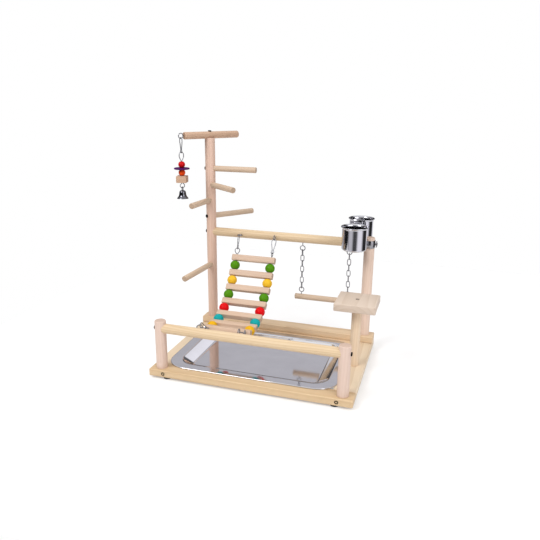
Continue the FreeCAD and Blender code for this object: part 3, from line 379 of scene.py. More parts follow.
def end_grain(tree, direction, amount):
    """How far a surface faces along the grain, where the cut ends soak up more and look darker."""
    facing = node(tree, "ShaderNodeTexCoord").outputs["Normal"]
    along = node(tree, "ShaderNodeVectorMath", {0: facing, 1: direction.normalized()},
                 operation="DOT_PRODUCT")
    either = maths(tree, "ABSOLUTE", along.outputs["Value"])
    return node(tree, "ShaderNodeMapRange", {"Value": either, "From Min": 0.75, "From Max": 0.97,
                                             "To Max": amount}).outputs[0]


def opaque(colour, share=1.0):
    """A colour with its alpha, as a share of its brightness."""
    return (*[share * part for part in colour], 1)


def finish(tree, shader, colour, height, strength, distance):
    """Link a colour and a fine relief to the shader."""
    raised = node(tree, "ShaderNodeBump", {"Height": height, "Strength": strength,
                                           "Distance": distance})
    tree.links.new(colour, shader.inputs["Base Color"])
    tree.links.new(raised.outputs[0], shader.inputs["Normal"])


def wood(name, pale, dark, centre, direction, rings=70.0, ring_strength=0.5, fibres=0.4,
         knots=0.0, bump=0.12, ends=0.6, **settings):
    """Plain or stained wood whose grain runs along a direction."""
    material, tree, shader = new_material(name, **settings)
    grain = node(tree, "ShaderNodeGroup", node_tree=GRAIN)
    for key, value in (("Pale", opaque(pale)), ("Dark", opaque(dark)), ("Ring scale", rings),
                       ("Ring strength", ring_strength), ("Fibre strength", fibres),
                       ("Knots", knots)):
        grain.inputs[key].default_value = value
    tree.links.new(located(tree, centre, direction), grain.inputs["Vector"])
    cut = blend(tree, end_grain(tree, direction, ends), grain.outputs["Color"], opaque(dark, 0.8))
    finish(tree, shader, cut, grain.outputs["Height"], bump, 0.0006)
    tree.links.new(grain.outputs["Roughness"], shader.inputs["Roughness"])
    return material


def metal(name, colour, rough, smear, lines=(40, 1500, 40)):
    """Bright metal with faint wear."""
    material, tree, shader = new_material(name, Metallic=1.0)
    wear = node(tree, "ShaderNodeGroup", node_tree=WEAR)
    for key, value in (("Base roughness", rough), ("Smear", smear), ("Line scale", lines)):
        wear.inputs[key].default_value = value
    place = node(tree, "ShaderNodeTexCoord").outputs["Object"]
    tree.links.new(place, wear.inputs["Vector"])
    tint = blend(tree, wear.outputs["Mask"], opaque(colour), opaque(colour, 0.86))
    finish(tree, shader, tint, wear.outputs["Height"], 0.02, 0.0003)
    tree.links.new(wear.outputs["Roughness"], shader.inputs["Roughness"])
    return material


def rubber(name, colour):
    """Matt rubber with a fine pebbled surface."""
    material, tree, shader = new_material(name, Roughness=0.75)
    place = node(tree, "ShaderNodeTexCoord").outputs["Object"]
    pebbles = noise(tree, place, (900, 900, 900), 2.0)["Fac"]
    finish(tree, shader, blend(tree, pebbles, opaque(colour), opaque(colour, 1.8)), pebbles, 0.3,
           0.0003)
    return material


BOARD_PALE, BOARD_DARK = (0.74, 0.56, 0.37), (0.54, 0.35, 0.19)
# The front board's colours are a darker copy of the board wood: painted shade on the front board.
SHADED_FRONT_PALE, SHADED_FRONT_DARK = (0.68, 0.50, 0.30), (0.48, 0.31, 0.16)
# The side boards' colours are a lighter copy of the board wood: painted light on the side boards.
LIT_SIDE_PALE, LIT_SIDE_DARK = (0.77, 0.63, 0.46), (0.58, 0.41, 0.25)
POSTS = {"tall_post": ((0.75, 0.53, 0.42), (0.62, 0.39, 0.27)),
         "front_posts": ((0.73, 0.56, 0.47), (0.62, 0.44, 0.34)),
         "rear_post": ((0.80, 0.62, 0.51), (0.66, 0.47, 0.34)),
         "platform_post": ((0.80, 0.63, 0.46), (0.64, 0.45, 0.26))}
RAIL_PALE, RAIL_DARK = (0.74, 0.57, 0.37), (0.55, 0.37, 0.19)
PERCH_PALE, PERCH_DARK = (0.61, 0.46, 0.33), (0.47, 0.32, 0.21)
TOP_PALE, TOP_DARK = (0.60, 0.40, 0.27), (0.46, 0.27, 0.17)
LANDING_PALE, LANDING_DARK = (0.68, 0.56, 0.46), (0.55, 0.42, 0.31)
RUNG_PALE, RUNG_DARK = (0.63, 0.46, 0.34), (0.50, 0.32, 0.21)
tray_steel = metal("tray_steel", (0.74, 0.74, 0.78), 0.05, 0.05)
cup_steel = metal("cup_steel", (0.57, 0.57, 0.61), 0.05, 0.05, (40, 40, 1600))
bracket_steel = metal("bracket_steel", (0.30, 0.30, 0.32), 0.10, 0.08)
wire_steel = metal("wire_steel", (0.27, 0.27, 0.29), 0.12, 0.1, (300, 300, 300))
bell_chrome = metal("bell_chrome", (0.15, 0.15, 0.17), 0.06, 0.06, (60, 60, 900))
screw_steel = metal("screw_steel", (0.012, 0.011, 0.011), 0.6, 0.1, (400, 400, 400))
foot_rubber = rubber("foot_rubber", (0.012, 0.012, 0.013))


# ---- wooden frame

PITH = Vector((0, 37, -46))  # from a board's middle to the middle of its growth rings
FOOT_RADIUS = 8


def make_board(name, direction, pale=BOARD_PALE, dark=BOARD_DARK, ease=1.6):
    """A frame board, its grain along its length."""
    look = wood(name, pale, dark, middle(name) + PITH, direction, rings=34.0, ring_strength=0.42,
                knots=0.55, ends=0.1)
    put(block(*corners(name), ease), f"{name}_board", look, [name])


def make_boards():
    """The five boards of the base and the landing board."""
    # The front board takes the darker copy of the board wood, as painted shade.
    make_board("front_board", X, SHADED_FRONT_PALE, SHADED_FRONT_DARK)
    for name in ("back_board", "back_strip"):
        make_board(name, X)
    for name in ("side_board_left", "side_board_right"):
        # The side boards take the lighter copy of the board wood, as painted light.
        make_board(name, Y, LIT_SIDE_PALE, LIT_SIDE_DARK)
    make_board("platform", Y, LANDING_PALE, LANDING_DARK, 2.2)


def make_feet():
    """Four round rubber feet."""
    low, high = corners("rubber_feet")
    profile = [(0, 0)] + arc(FOOT_RADIUS - 1, 1, 1, -90, 0)
    profile += [(FOOT_RADIUS, high.z), (0, high.z)]
    feet = [placed(lathe(profile, 32), at((x, y, 0)))
            for x in (low.x + FOOT_RADIUS, high.x - FOOT_RADIUS)
            for y in (low.y + FOOT_RADIUS, high.y - FOOT_RADIUS)]
    put(joined(feet), "feet", foot_rubber, ["rubber_feet"])


def upright(name, radius, ease, centre):
    """A post in its place, and its look."""
    low, high = corners(name)
    look = wood(name, *POSTS[name], centre + Vector((3, 2, 0)), Z, rings=62.0,
                ring_strength=0.35)
    shape = rod(high.z - low.z, radius, 0.4, ease)
    return placed(shape, at((centre.x, centre.y, low.z))), look


def make_post(name, ease):
    """A post on its own."""
    shape, look = upright(name, half_size(name).x, ease, middle(name))
    put(shape, f"{name}_dowel", look, [name])


def make_front_posts():
    """The two short posts that hold the rail."""
    low, high = corners("front_posts")
    centre, radius = middle("front_posts"), half_size("front_posts").y
    pair = [upright("front_posts", radius, 2.2, Vector((x, centre.y, 0)))
            for x in (low.x + radius, high.x - radius)]
    put(joined([shape for shape, _ in pair]), "front_post_dowels", pair[1][1], ["front_posts"])


def make_crossbars():
    """The front rail and the main bar."""
    for name in ("front_rail", "main_bar"):
        centre, half = middle(name), half_size(name)
        look = wood(name, RAIL_PALE, RAIL_DARK, centre + Vector((0, 4, -5)), X, rings=75.0,
                    ring_strength=0.55, knots=0.5)
        put(rod(2 * half.x, half.z, 0.3, 0.3), f"{name}_dowel", look, [name],
            at(centre - X * half.x, X, Z))


# ---- perches

def points(name):
    """A node's vertices in millimetres."""
    return [vertex.co / MM for vertex in frame["nodes"][name].data.vertices]


def box_middle(cloud):
    """The middle of the box round some points."""
    return Vector([(min(axis) + max(axis)) / 2 for axis in zip(*cloud)])


def axis_ends(name, guess):
    """The two ends of a rod's axis, the second one further along the guessed direction."""
    cloud, way = points(name), guess.normalized()
    for _ in range(3):
        ends = []
        for sense in (-1, 1):
            far = max(sense * point.dot(way) for point in cloud)
            ends.append(box_middle([point for point in cloud
                                    if sense * point.dot(way) > far - 1]))
        way = (ends[1] - ends[0]).normalized()
    return ends


POST_AXIS, POST_RADIUS = middle("tall_post"), half_size("tall_post").x
SCREW_HEAD, SCREW_RISE = 4, 2.4
FRONT_SCREW, STRIP_SCREW = 179, 100  # how far out the screws sit in the front board and the strip
pan_heads = []


def make_side_perches():
    """Five perches screwed to the tall post."""
    for number in range(1, 6):
        name = f"side_perch_{number}"
        box = middle(name)
        foot = Vector((POST_AXIS.x, POST_AXIS.y, box.z))
        _, end = axis_ends(name, box - foot)
        way = (end - foot).normalized()
        start = foot + way * (POST_RADIUS - 2)
        look = wood(name, PERCH_PALE, PERCH_DARK, start + Vector((0, 0, 3)), way, rings=90.0,
                    ring_strength=0.2)
        put(rod((end - start).length, half_size(name).z, 0.3, 0.9), f"{name}_dowel", look, [name],
            at(start, way, Z))
        pan_heads.append((foot - way * POST_RADIUS, way * -1))


def make_top_perch():
    """The top perch, screwed down on the tall post; its toy end and that end's way out."""
    start, end = axis_ends("top_perch", Vector((1, 1.5, 0)))
    radius = half_size("top_perch").z
    look = wood("top_perch", TOP_PALE, TOP_DARK, start + Vector((0, 0, 4)), end - start,
                rings=85.0, ring_strength=0.35)
    put(rod((end - start).length, radius, 1.6, 1.6), "top_perch_dowel", look, ["top_perch"],
        at(start, end - start, Z))
    pan_heads.append((Vector((POST_AXIS.x, POST_AXIS.y, start.z + radius)), Z))
    return start, (start - end).normalized()


def screw_shape(place, outward, flush):
    """A wood screw with a drive socket in its head; a flush head ends level with the surface."""
    top = 0 if flush else SCREW_RISE
    under = -2.6 if flush else 0
    profile = [(0, top - 1.6), (1.0, top - 1.2), (1.7, top)]
    if flush:
        profile += [(SCREW_HEAD - 0.1, top), (SCREW_HEAD, top - 0.2), (1.75, under)]
    else:
        profile += [(2.6, top - 0.1)] + arc(SCREW_HEAD - 1.2, top - 1.4, 1.2, 75, 0, 4)
        profile += [(SCREW_HEAD, 0.1), (SCREW_HEAD - 0.1, 0), (1.75, 0)]
    profile += [(1.75, under - 12), (0, under - 13.5)]
    return placed(lathe(profile, 24), at(place, outward, X if abs(outward.z) > 0.5 else Z))


def make_screws():
    """Pan heads on the posts and flush heads in the boards and the landing board."""
    rail, bar, stub = middle("front_rail"), middle("main_bar"), middle("platform_post")
    for side in (-1, 1):
        pan_heads.append((Vector((side * (abs(POST_AXIS.x) + POST_RADIUS), rail.y, rail.z)),
                          X * side))
    pan_heads.append((Vector((POST_AXIS.x - POST_RADIUS, bar.y, bar.z)), X * -1))
    put(joined([screw_shape(place, outward, False) for place, outward in pan_heads]),
        "pan_head_screws", screw_steel, ["post_screws"])

    board, floor = middle("front_board"), underside("front_board").z
    front = board.y - half_size("front_board").y
    seats = [(Vector((stub.x, middle("platform").y, corners("platform")[1].z)), Z)]
    for side in (-1, 1):
        seats.append((Vector((side * FRONT_SCREW, front, board.z)), Y * -1))
        for x, y in ((abs(POST_AXIS.x), rail.y), (abs(POST_AXIS.x), POST_AXIS.y),
                     (STRIP_SCREW, POST_AXIS.y)):
            seats.append((Vector((side * x, y, floor)), Z * -1))
    seats.append((Vector((stub.x, 0, floor)), Z * -1))
    put(joined([screw_shape(place, outward, True) for place, outward in seats]),
        "flush_screws", screw_steel, ["board_screws"])


# ---- tray

TRAY_SHEET = 0.8
# Distance in from the edge, drop below the flange and corner radius, from the rolled rim inwards.
TRAY_STEPS = [(0.5, 2.2, 44.5), (0, 1.9, 45), (0, 0.9, 45), (0.3, 0.25, 44.7), (0.9, 0, 44.1),
              (1.6, 0, 43.8), (17.9, 0, 35.7), (18.6, 0, 35.4), (20.2, 0.1, 34.4),
              (21.7, 0.55, 33.4), (23, 1.25, 32.4), (23.7, 1.64, 31.7), (42.1, 12, 13.5),
              (42.8, 12.4, 12.8), (44.2, 13.05, 11.4), (46, 13.4, 9.8), (48, 13.5, 8.4),
              (49.5, 13.5, 7.4)]


def tray_ring(shape, width, depth, corner, height):
    """A rounded rectangle; no other face in the shape has as many sides."""
    verts = [shape.verts.new((x * width / 2, y * depth / 2, height))
             for x, y in ((-1, -1), (1, -1), (1, 1), (-1, 1))]
    shape.faces.new(verts)
    bmesh.ops.bevel(shape, geom=verts, offset=corner, affect="VERTICES", segments=14,
                    profile=0.5, material=-1)
    return max(shape.faces, key=lambda face: len(face.verts))


def make_tray():
    """A pressed stainless tray with a rolled rim, a flat flange and sloped walls."""
    half = half_size("tray")
    shape, outer = bmesh.new(), None
    for inset, drop, corner in TRAY_STEPS:
        floor = tray_ring(shape, 2 * (half.x - inset), 2 * (half.y - inset), corner, -drop)
        edges = floor.edges[:]
        if outer:
            bmesh.ops.bridge_loops(shape, edges=outer + edges)
        outer = edges
        if inset != TRAY_STEPS[-1][0]:
            bmesh.ops.delete(shape, geom=[floor], context="FACES_ONLY")
    tidy(shape)
    if max(shape.faces, key=lambda face: face.calc_area()).normal.z < 0:
        bmesh.ops.reverse_faces(shape, faces=shape.faces)
    bmesh.ops.solidify(shape, geom=shape.faces[:], thickness=TRAY_SHEET)
    put(shape, "tray_pan", tray_steel, ["tray"], at(middle("tray") + Z * half.z), smooth=50)


# ---- wire goods

EYE_RADIUS, EYE_WIRE, EYE_NECK = 5.6, 1.0, 1.6
CLIP_WIRE, CLIP_LENGTH, CLIP_WIDTH, CLIP_EYE = 0.9, 35, 11.5, 3.0
PLAY = 0.3


def eye_run(centre, outward, side, surface_gap):
    """A screw eye's wire: its ring, and a stem into the wood."""
    loop = ring(centre, EYE_RADIUS, outward, side)
    stem = [centre - outward * EYE_RADIUS, centre - outward * (EYE_RADIUS + surface_gap + 4)]
    return [(loop, True), (stem, False)]


def clip_parts(hook, way, across):
    """A spring clip: drop shaped loop, gate, sleeve and small eye; and the eye's far end."""
    top = -(EYE_WIRE + CLIP_WIRE + PLAY)
    wide = CLIP_WIDTH / 2 - CLIP_WIRE
    bottom = top + CLIP_LENGTH - 2 * CLIP_WIRE
    neck = bottom - 2 * CLIP_EYE
    half = [(wide * 0.72, top + wide * 0.34), (wide, top + wide), (wide * 0.78, neck * 0.52),
            (wide * 0.4, neck * 0.82), (CLIP_WIRE, neck)]
    plan = [(0, top)] + half + [(-u, w) for u, w in reversed(half)]
    drop = [hook + across * u + way * w for u, w in plan]
    eye_centre = hook + way * (bottom - CLIP_EYE)
    runs = [(drop, True), (ring(eye_centre, CLIP_EYE, way, across), True)]
    sleeve = placed(lathe([(0, 0), (1.4, 0)] + arc(1.2, 0.5, 0.45, -60, 0, 3)
                          + arc(1.2, 4.1, 0.45, 0, 60, 3) + [(0, 4.6)], 24),
                    at(hook + way * (neck - 3.2), way, across))
    thumb = placed(lathe([(0, -1)] + arc(0.5, -0.5, 0.5, -90, 0, 3)
                         + arc(0.5, 0.5, 0.5, 0, 90, 3), 16),
                   at(hook + across * (wide * 0.86) + way * (neck * 0.4), across, way))
    return runs, [sleeve, thumb], hook + way * bottom


def loop_run(hook, end, across, hook_wire, wire, width=13):
    """A wire's end loop: it hangs on a hook and narrows to the wire's run."""
    way = (end - hook).normalized()
    top = hook - way * (hook_wire + wire + PLAY)
    length = (end - top).length
    wide = width / 2 - wire
    half = [(0.62 * wide, 0.09), (wide, 0.34), (0.86 * wide, 0.6), (0.3 * wide, 0.88)]
    plan = [(0, 0)] + half + [(0, 1)] + [(-u, w) for u, w in reversed(half)]
    return [top + across * u + way * (w * length) for u, w in plan], True


# ---- ladder

RUNG_HALF, RUNG_DEPTH, RUNG_EASE, WIRE = 7, 13, 1.6, 0.9
RAIL_EYE_ANGLE, STRING_TAIL = 20, 1.5
LADDER_BEAD, TOY_BEAD = (11, 9.3), (7.6, 6.8)  # radius and half the length
BEAD_COLOURS = {"green": (0.078, 0.265, 0.001), "yellow": (0.88, 0.52, 0.03),
                "red": (0.74, 0.001, 0.005), "teal": (0.004, 0.36, 0.37),
                "mustard": (0.78, 0.42, 0.008)}
BEAD_ROWS = ("green", "yellow", "green", "red", "teal", "mustard")


def stained(name, colour, way=Z):
    """Glossy stained wood, its grain showing faintly."""
    dark = tuple(0.72 * part for part in colour)
    return wood(name, colour, dark, Vector((0, 3, 0)), way, rings=120.0, ring_strength=0.25,
                fibres=0.25, bump=0.05, ends=0.0, Coat_Weight=0.06, Coat_Roughness=0.15,
                Specular_IOR_Level=0.12)


def separate_clouds(name):
    """The vertices of each separate solid of a node."""
    shape = bmesh.new()
    shape.from_mesh(frame["nodes"][name].data)
    bmesh.ops.remove_doubles(shape, verts=shape.verts, dist=1e-6)
    left, clouds = set(shape.verts), []
    while left:
        edge, cloud = [left.pop()], []
        while edge:
            vert = edge.pop()
            cloud.append(vert.co / MM)
            near = {link.other_vert(vert) for link in vert.link_edges} & left
            left -= near
            edge.extend(near)
        clouds.append(cloud)
    shape.free()
    return clouds


def bead_shape(radius, half, hole=1.6):
    """A round bead, drilled through, its ends slightly flat."""
    edge = math.degrees(math.asin((half - 0.35) / radius))
    profile = [(hole, half - 0.8), (hole + 0.4, half - 0.1), (hole + 1.0, half)]
    profile += arc(0, 0, radius, edge, -edge, 18)
    profile += [(hole + 1.0, -half), (hole + 0.4, -half + 0.1), (hole, -half + 0.8)]
    return lathe(profile + profile[:1], 40)


def make_ladder():
    """Rungs and beads on two wires, with clips and eyes at both ends."""
    rungs = sorted((box_middle(cloud) for cloud in separate_clouds("ladder_rungs")),
                   key=lambda centre: -centre.y)
    bar, rail = middle("main_bar"), middle("front_rail")
    reach = half_size("main_bar").z + EYE_NECK + EYE_WIRE + EYE_RADIUS
    forward = Y * -1
    lift = math.radians(RAIL_EYE_ANGLE)
    backward = Vector((0, math.cos(lift), math.sin(lift)))
    centre = rungs[0].x
    top, foot = bar + forward * reach, rail + backward * reach
    line = [Vector((centre, spot.y, spot.z)) for spot in [top] + rungs + [foot]]
    ways = [(b - a).normalized() for a, b in zip(line, line[1:])]
    ups = [(a + b).normalized() * -1 for a, b in zip(ways, ways[1:])]
    mouths = [(spot + up * RUNG_HALF, spot - up * RUNG_HALF) for spot, up in zip(line[1:], ups)]
    size = Vector((half_size("ladder_rungs").x, RUNG_DEPTH / 2, RUNG_HALF))
    bars = [placed(block(-size, size, RUNG_EASE), at(spot, up, X))
            for spot, up in zip(line[1:], ups)]
    look = wood("rungs", RUNG_PALE, RUNG_DARK, rungs[3] + Vector((0, 20, 8)), X, rings=60.0,
                ring_strength=0.35, knots=0.5)
    put(joined(bars), "rung_bars", look, ["ladder_rungs"])

    stains = {colour: stained(f"{colour}_stain", BEAD_COLOURS[colour], ways[3])
              for colour in dict.fromkeys(BEAD_ROWS)}
    strings, bar_eyes, rail_eyes, upper, lower, upper_solids, lower_solids = ([] for _ in range(7))
    for name in ("left", "right"):
        shift = Vector((middle(f"ladder_bead_{name}_1").x - centre, 0, 0))
        for number, colour in enumerate(BEAD_ROWS, start=1):
            label = f"ladder_bead_{name}_{number}"
            above, below = mouths[number - 1][1], mouths[number][0]
            put(bead_shape(*LADDER_BEAD), f"{label}_ball", stains[colour], [label],
                at((above + below) / 2 + shift, below - above, X))
        string = [spot + shift for pair in mouths for spot in pair]
        level = name == "left"
        ends = []
        for eye, outward, near, way, eyes, clips, solids in (
                (top, forward, string[0], ways[0], bar_eyes, upper, upper_solids),
                (foot, backward, string[-1], ways[-1] * -1, rail_eyes, lower, lower_solids)):
            ring_centre = Vector((near.x, eye.y, eye.z))
            eyes += eye_run(ring_centre, outward, X if level else outward.cross(X),
                            EYE_NECK + EYE_WIRE)
            hook = ring_centre + (outward if level else way) * EYE_RADIUS
            end = near - way * STRING_TAIL
            pull = (end - hook).normalized()
            flat = pull.cross(X).normalized()
            runs, extra, low = clip_parts(hook, pull, flat if level else X)
            clips += runs
            solids += extra
            strings.append(loop_run(low, end, X if level else flat, CLIP_WIRE, WIRE))
            ends.append(end)
        strings.append(([ends[0]] + string + [ends[1]], False))
    wires("ladder_strings", strings, WIRE, wire_steel, ["ladder_wires"])
    wires("bar_eyes", bar_eyes, EYE_WIRE, wire_steel, ["ladder_bar_eyes"])
    wires("rail_eyes", rail_eyes, EYE_WIRE, wire_steel, ["ladder_rail_eyes"])
    wires("upper_clips", upper, CLIP_WIRE, wire_steel, ["ladder_upper_clips"], upper_solids)
    wires("lower_clips", lower, CLIP_WIRE, wire_steel, ["ladder_lower_clips"], lower_solids)


# ---- swing

LINK_LENGTH, LINK_WIDTH, LINKS = 16.7, 9, 7
BAR_NECK, PERCH_NECK = 6.2, 4.5


def link_run(centre, side):
    """A chain link: straight sides and round ends."""
    bend = LINK_WIDTH / 2 - WIRE
    straight = LINK_LENGTH / 2 - WIRE - bend
    turns = [math.radians(22.5 * k) for k in range(9)]
    half = [(bend * math.cos(turn), straight + bend * math.sin(turn)) for turn in turns]
    plan = half + [(-u, -w) for u, w in half]
    return [centre + side * u + Z * w for u, w in plan], True


def make_swing():
    """A perch on two chains under the main bar."""
    start, end = axis_ends("swing_perch", X)
    look = wood("swing_perch", PERCH_PALE, PERCH_DARK, start + Vector((0, 2, 3)), X, rings=90.0,
                ring_strength=0.3)
    put(rod((end - start).length, half_size("swing_perch").z, 0.9, 0.9), "swing_dowel", look,
        ["swing_perch"], at(start, X, Z))
    bar_eyes, perch_eyes = [], []
    bar_under = underside("main_bar").z
    perch_over = corners("swing_perch")[1].z
    for name in ("left", "right"):
        centre = middle(f"swing_chain_{name}")
        rise = half_size(f"swing_chain_{name}").z - LINK_LENGTH / 2
        runs = [link_run(centre + Z * rise * (1 - 2 * number / (LINKS - 1)),
                         X if number % 2 else Y) for number in range(LINKS)]
        wires(f"{name}_chain", runs, WIRE, wire_steel, [f"swing_chain_{name}"])
        hook = Vector((centre.x, centre.y, bar_under - BAR_NECK - EYE_WIRE - EYE_RADIUS))
        bar_eyes += eye_run(hook, Z * -1, X, BAR_NECK + EYE_WIRE)
        hook = Vector((centre.x, centre.y, perch_over + PERCH_NECK + EYE_WIRE + EYE_RADIUS))
        perch_eyes += eye_run(hook, Z, X, PERCH_NECK + EYE_WIRE)
    wires("hanging_eyes", bar_eyes, EYE_WIRE, wire_steel, ["swing_bar_eyes"])
    wires("swing_eyes", perch_eyes, EYE_WIRE, wire_steel, ["swing_perch_eyes"])


# ---- toy

TOY_RED, TOY_PURPLE, TOY_ORANGE = (0.62, 0.003, 0.006), (0.07, 0.001, 0.10), (0.85, 0.07, 0.002)
DISC_RADIUS, BLOCK_SIDE, BLOCK_TURN = 17.5, 23, 12
UPPER_LOOP, LOWER_LOOP, BELL_RISE, CLAPPER = 20.3, 12.6, 18.5, 2.3


def make_toy(perch_end, outward):
    """Eye, clip, beads, disc and block on a wire, and a bell below."""
    across = Vector((-outward.y, outward.x, 0))
    down = Z * -1
    centre = perch_end + outward * (EYE_NECK + EYE_WIRE + EYE_RADIUS)
    wires("toy_screw_eye", eye_run(centre, outward, down, EYE_NECK + EYE_WIRE), EYE_WIRE,
          wire_steel, ["toy_eye"])
    runs, solids, low = clip_parts(centre + down * EYE_RADIUS, down, across)
    wires("toy_spring_clip", runs, CLIP_WIRE, wire_steel, ["toy_clip"], solids)

    upper, disc, lower, cube = (middle(name) for name in ("toy_bead_upper", "toy_disc",
                                                          "toy_bead_lower", "toy_block"))
    put(bead_shape(*TOY_BEAD), "toy_red_bead", stained("toy_red", TOY_RED), ["toy_bead_upper"],
        at(upper))
    put(bead_shape(*TOY_BEAD), "toy_orange_bead", stained("toy_orange", TOY_ORANGE),
        ["toy_bead_lower"], at(lower))
    flat = DISC_RADIUS - 1.5
    profile = [(1.6, -1.7)] + arc(flat, -0.2, 1.5, -90, 0, 6) + arc(flat, 0.2, 1.5, 0, 90, 6)
    profile += [(1.6, 1.7), (1.6, -1.7)]
    put(lathe(profile, 64), "toy_purple_disc", stained("toy_purple", TOY_PURPLE), ["toy_disc"],
        at(disc))
    size = Vector((BLOCK_SIDE / 2, BLOCK_SIDE / 2, half_size("toy_block").z))
    look = wood("toy_block", TOP_PALE, TOP_DARK, cube + Vector((8, 9, 0)), X, rings=60.0,
                fibres=0.15)
    put(block(-size, size, 1.2), "toy_wood_block", look, ["toy_block"],
        Matrix.Translation(cube) @ Matrix.Rotation(math.radians(BLOCK_TURN), 4, "Z"))

    end = low + down * (UPPER_LOOP - CLIP_WIRE - WIRE)
    foot = underside("toy_block") + down * PLAY
    turn = foot + down * (LOWER_LOOP - WIRE)
    hook = turn - down * (2 * WIRE + PLAY)
    runs = [loop_run(low, end, outward, CLIP_WIRE, WIRE), ([end, foot], False),
            loop_run(hook, foot, outward, WIRE, WIRE)]
    wires("toy_hanging_wire", runs, WIRE, wire_steel, ["toy_wire"])
    make_bell(across)


def make_bell(across):
    """A flared chrome bell with a loop on its crown and a clapper inside."""
    base, rise = underside("toy_bell"), BELL_RISE
    outside = [(13, 0), (12.6, 0.9), (11.2, 2.6), (9.6, 4.6), (8.5, 7), (7.9, 10), (7.6, 13),
               (7.2, 15), (6.2, 16.9), (4.4, 18.1), (2, rise), (0, rise)]
    inside = [(radius - 0.8, height - (0.8 if height > 14 else 0)) for radius, height in outside
              if radius > 1]
    shape = lathe(outside[::-1] + [(12.6, 0)] + inside + [(0, rise - 0.8)], 56)
    placed(shape, at(base))
    top, crown = corners("toy_bell")[1].z - WIRE, base.z + rise
    half, lift = 2.3, (top - crown) / 2
    centre = Vector((base.x, base.y, (top + crown) / 2))
    plan = [(half * 0.9, -lift), (half, lift * 0.1), (half * 0.62, lift * 0.8), (0, lift),
            (-half * 0.62, lift * 0.8), (-half, lift * 0.1), (-half * 0.9, -lift)]
    loop = [centre + across * u + Z * w for u, w in plan]
    wires("toy_chrome_bell", [(loop, False)], WIRE, bell_chrome, ["toy_bell"], [shape])
    stem_top = 2 * half_size("toy_clapper").z
    ball = lathe(arc(0, CLAPPER, CLAPPER, -90, 70, 10)
                 + [(0.6, 4.8), (0.6, stem_top), (0, stem_top)], 28)
    put(ball, "bell_clapper", bell_chrome, ["toy_clapper"], at(underside("toy_clapper")))


# ---- cups and bracket

CUP_RADIUS, CUP_RIM, CUP_HEIGHT, CUP_SHEET, CUP_BEND = 26.5, 29.5, 51, 0.7, 3.5
CUP_HOOK = [(26, 11.2), (33, 11.2), (33.8, 11.5), (34.1, 12.3), (34.1, 50), (34.1, 53), (34.1, 56),
            (34.1, 58.4), (34.5, 59.5), (35.7, 59.9), (36.9, 59.5), (37.3, 58.4), (37.3, 56),
            (37.3, 52.6)]
HOOK_WIDTH, HOOK_SHEET, HOOK_SHOULDER, HOOK_ARCH, LEG_HEIGHT = 24, 1.2, 50, 11.5, 39.8
STRIP_WIDTH, STRIP_SHEET, TAB_RADIUS = 17, 1.5, 15
BOSS, WING_RADIUS, WING_SHEET, WING_RISE = 3.5, 3.2, 1.6, 4.1


def arched(shape):
    """Narrow a hook strap towards its top in a round arch."""
    for vert in shape.verts:
        rise = max(vert.co.z - HOOK_SHOULDER, 0) / HOOK_ARCH
        vert.co.x *= math.sqrt(1 - rise ** 2)
    return shape


def make_cup(name, turn):
    """A polished steel cup with a flared rim and a hook strap."""
    low, high = corners(name)
    base = Vector((middle(name).x, high.y - CUP_RIM if turn else low.y + CUP_RIM, low.z))
    inner = CUP_RADIUS - CUP_SHEET
    profile = [(0, 0)] + arc(CUP_RADIUS - CUP_BEND, CUP_BEND, CUP_BEND, -90, 0, 8)
    profile += [(CUP_RADIUS, 4.5), (CUP_RADIUS, 45), (CUP_RADIUS, 46.2), (26.7, 47.4), (27.3, 48.6)]
    profile += arc(CUP_RIM - 0.8, CUP_HEIGHT - 0.8, 0.8, -70, 120, 9)
    profile += [(27.2, 49.3), (26.3, 48.1), (inner, 46.6), (inner, 45), (inner, 4.5)]
    profile += arc(CUP_RADIUS - CUP_BEND, CUP_BEND, CUP_BEND - CUP_SHEET, 0, -90, 8)
    cup = lathe(profile + [(0, CUP_SHEET)], 96)
    hook = arched(strap(CUP_HOOK, HOOK_WIDTH, HOOK_SHEET))
    leg = strap([(26, LEG_HEIGHT), (33.6, LEG_HEIGHT)], HOOK_WIDTH, HOOK_SHEET)
    place = Matrix.Translation(base) @ Matrix.Rotation(math.radians(turn), 4, "Z")
    put(joined([cup, hook, leg]), f"{name}_steel", cup_steel, [name], place, smooth=35)


def make_bracket():
    """A strap round the rear post with an upright tab for each cup."""
    post = middle("rear_post")
    low, high = corners("cup_bracket")
    bend = half_size("cup_bracket").y - STRIP_SHEET / 2
    turns = [math.radians(-90 + 12 * k) for k in range(16)]
    path = [(low.x, -bend)] + [(post.x + bend * math.cos(turn), bend * math.sin(turn))
                               for turn in turns] + [(low.x, bend)]
    middle_line = Matrix.Translation((0, post.y, low.z + STRIP_WIDTH / 2))
    shapes = [placed(strap(path, STRIP_WIDTH, STRIP_SHEET, 0.3), middle_line @ axes(Z, X, Y))]
    for side in (-1, 1):
        tab = bmesh.new()
        bmesh.ops.create_circle(tab, cap_ends=True, segments=64, radius=TAB_RADIUS)
        for vert in tab.verts:
            if vert.co.y < -0.01:
                vert.co.y = low.z - (high.z - TAB_RADIUS)
        place = Matrix.Translation((low.x + TAB_RADIUS, post.y + side * bend + STRIP_SHEET / 2,
                                    high.z - TAB_RADIUS))
        shapes.append(placed(plate(tab, STRIP_SHEET, 0.25), place @ axes(X, Z, Y * -1)))
    put(joined(shapes), "bracket_strap", bracket_steel, ["cup_bracket"], smooth=35)


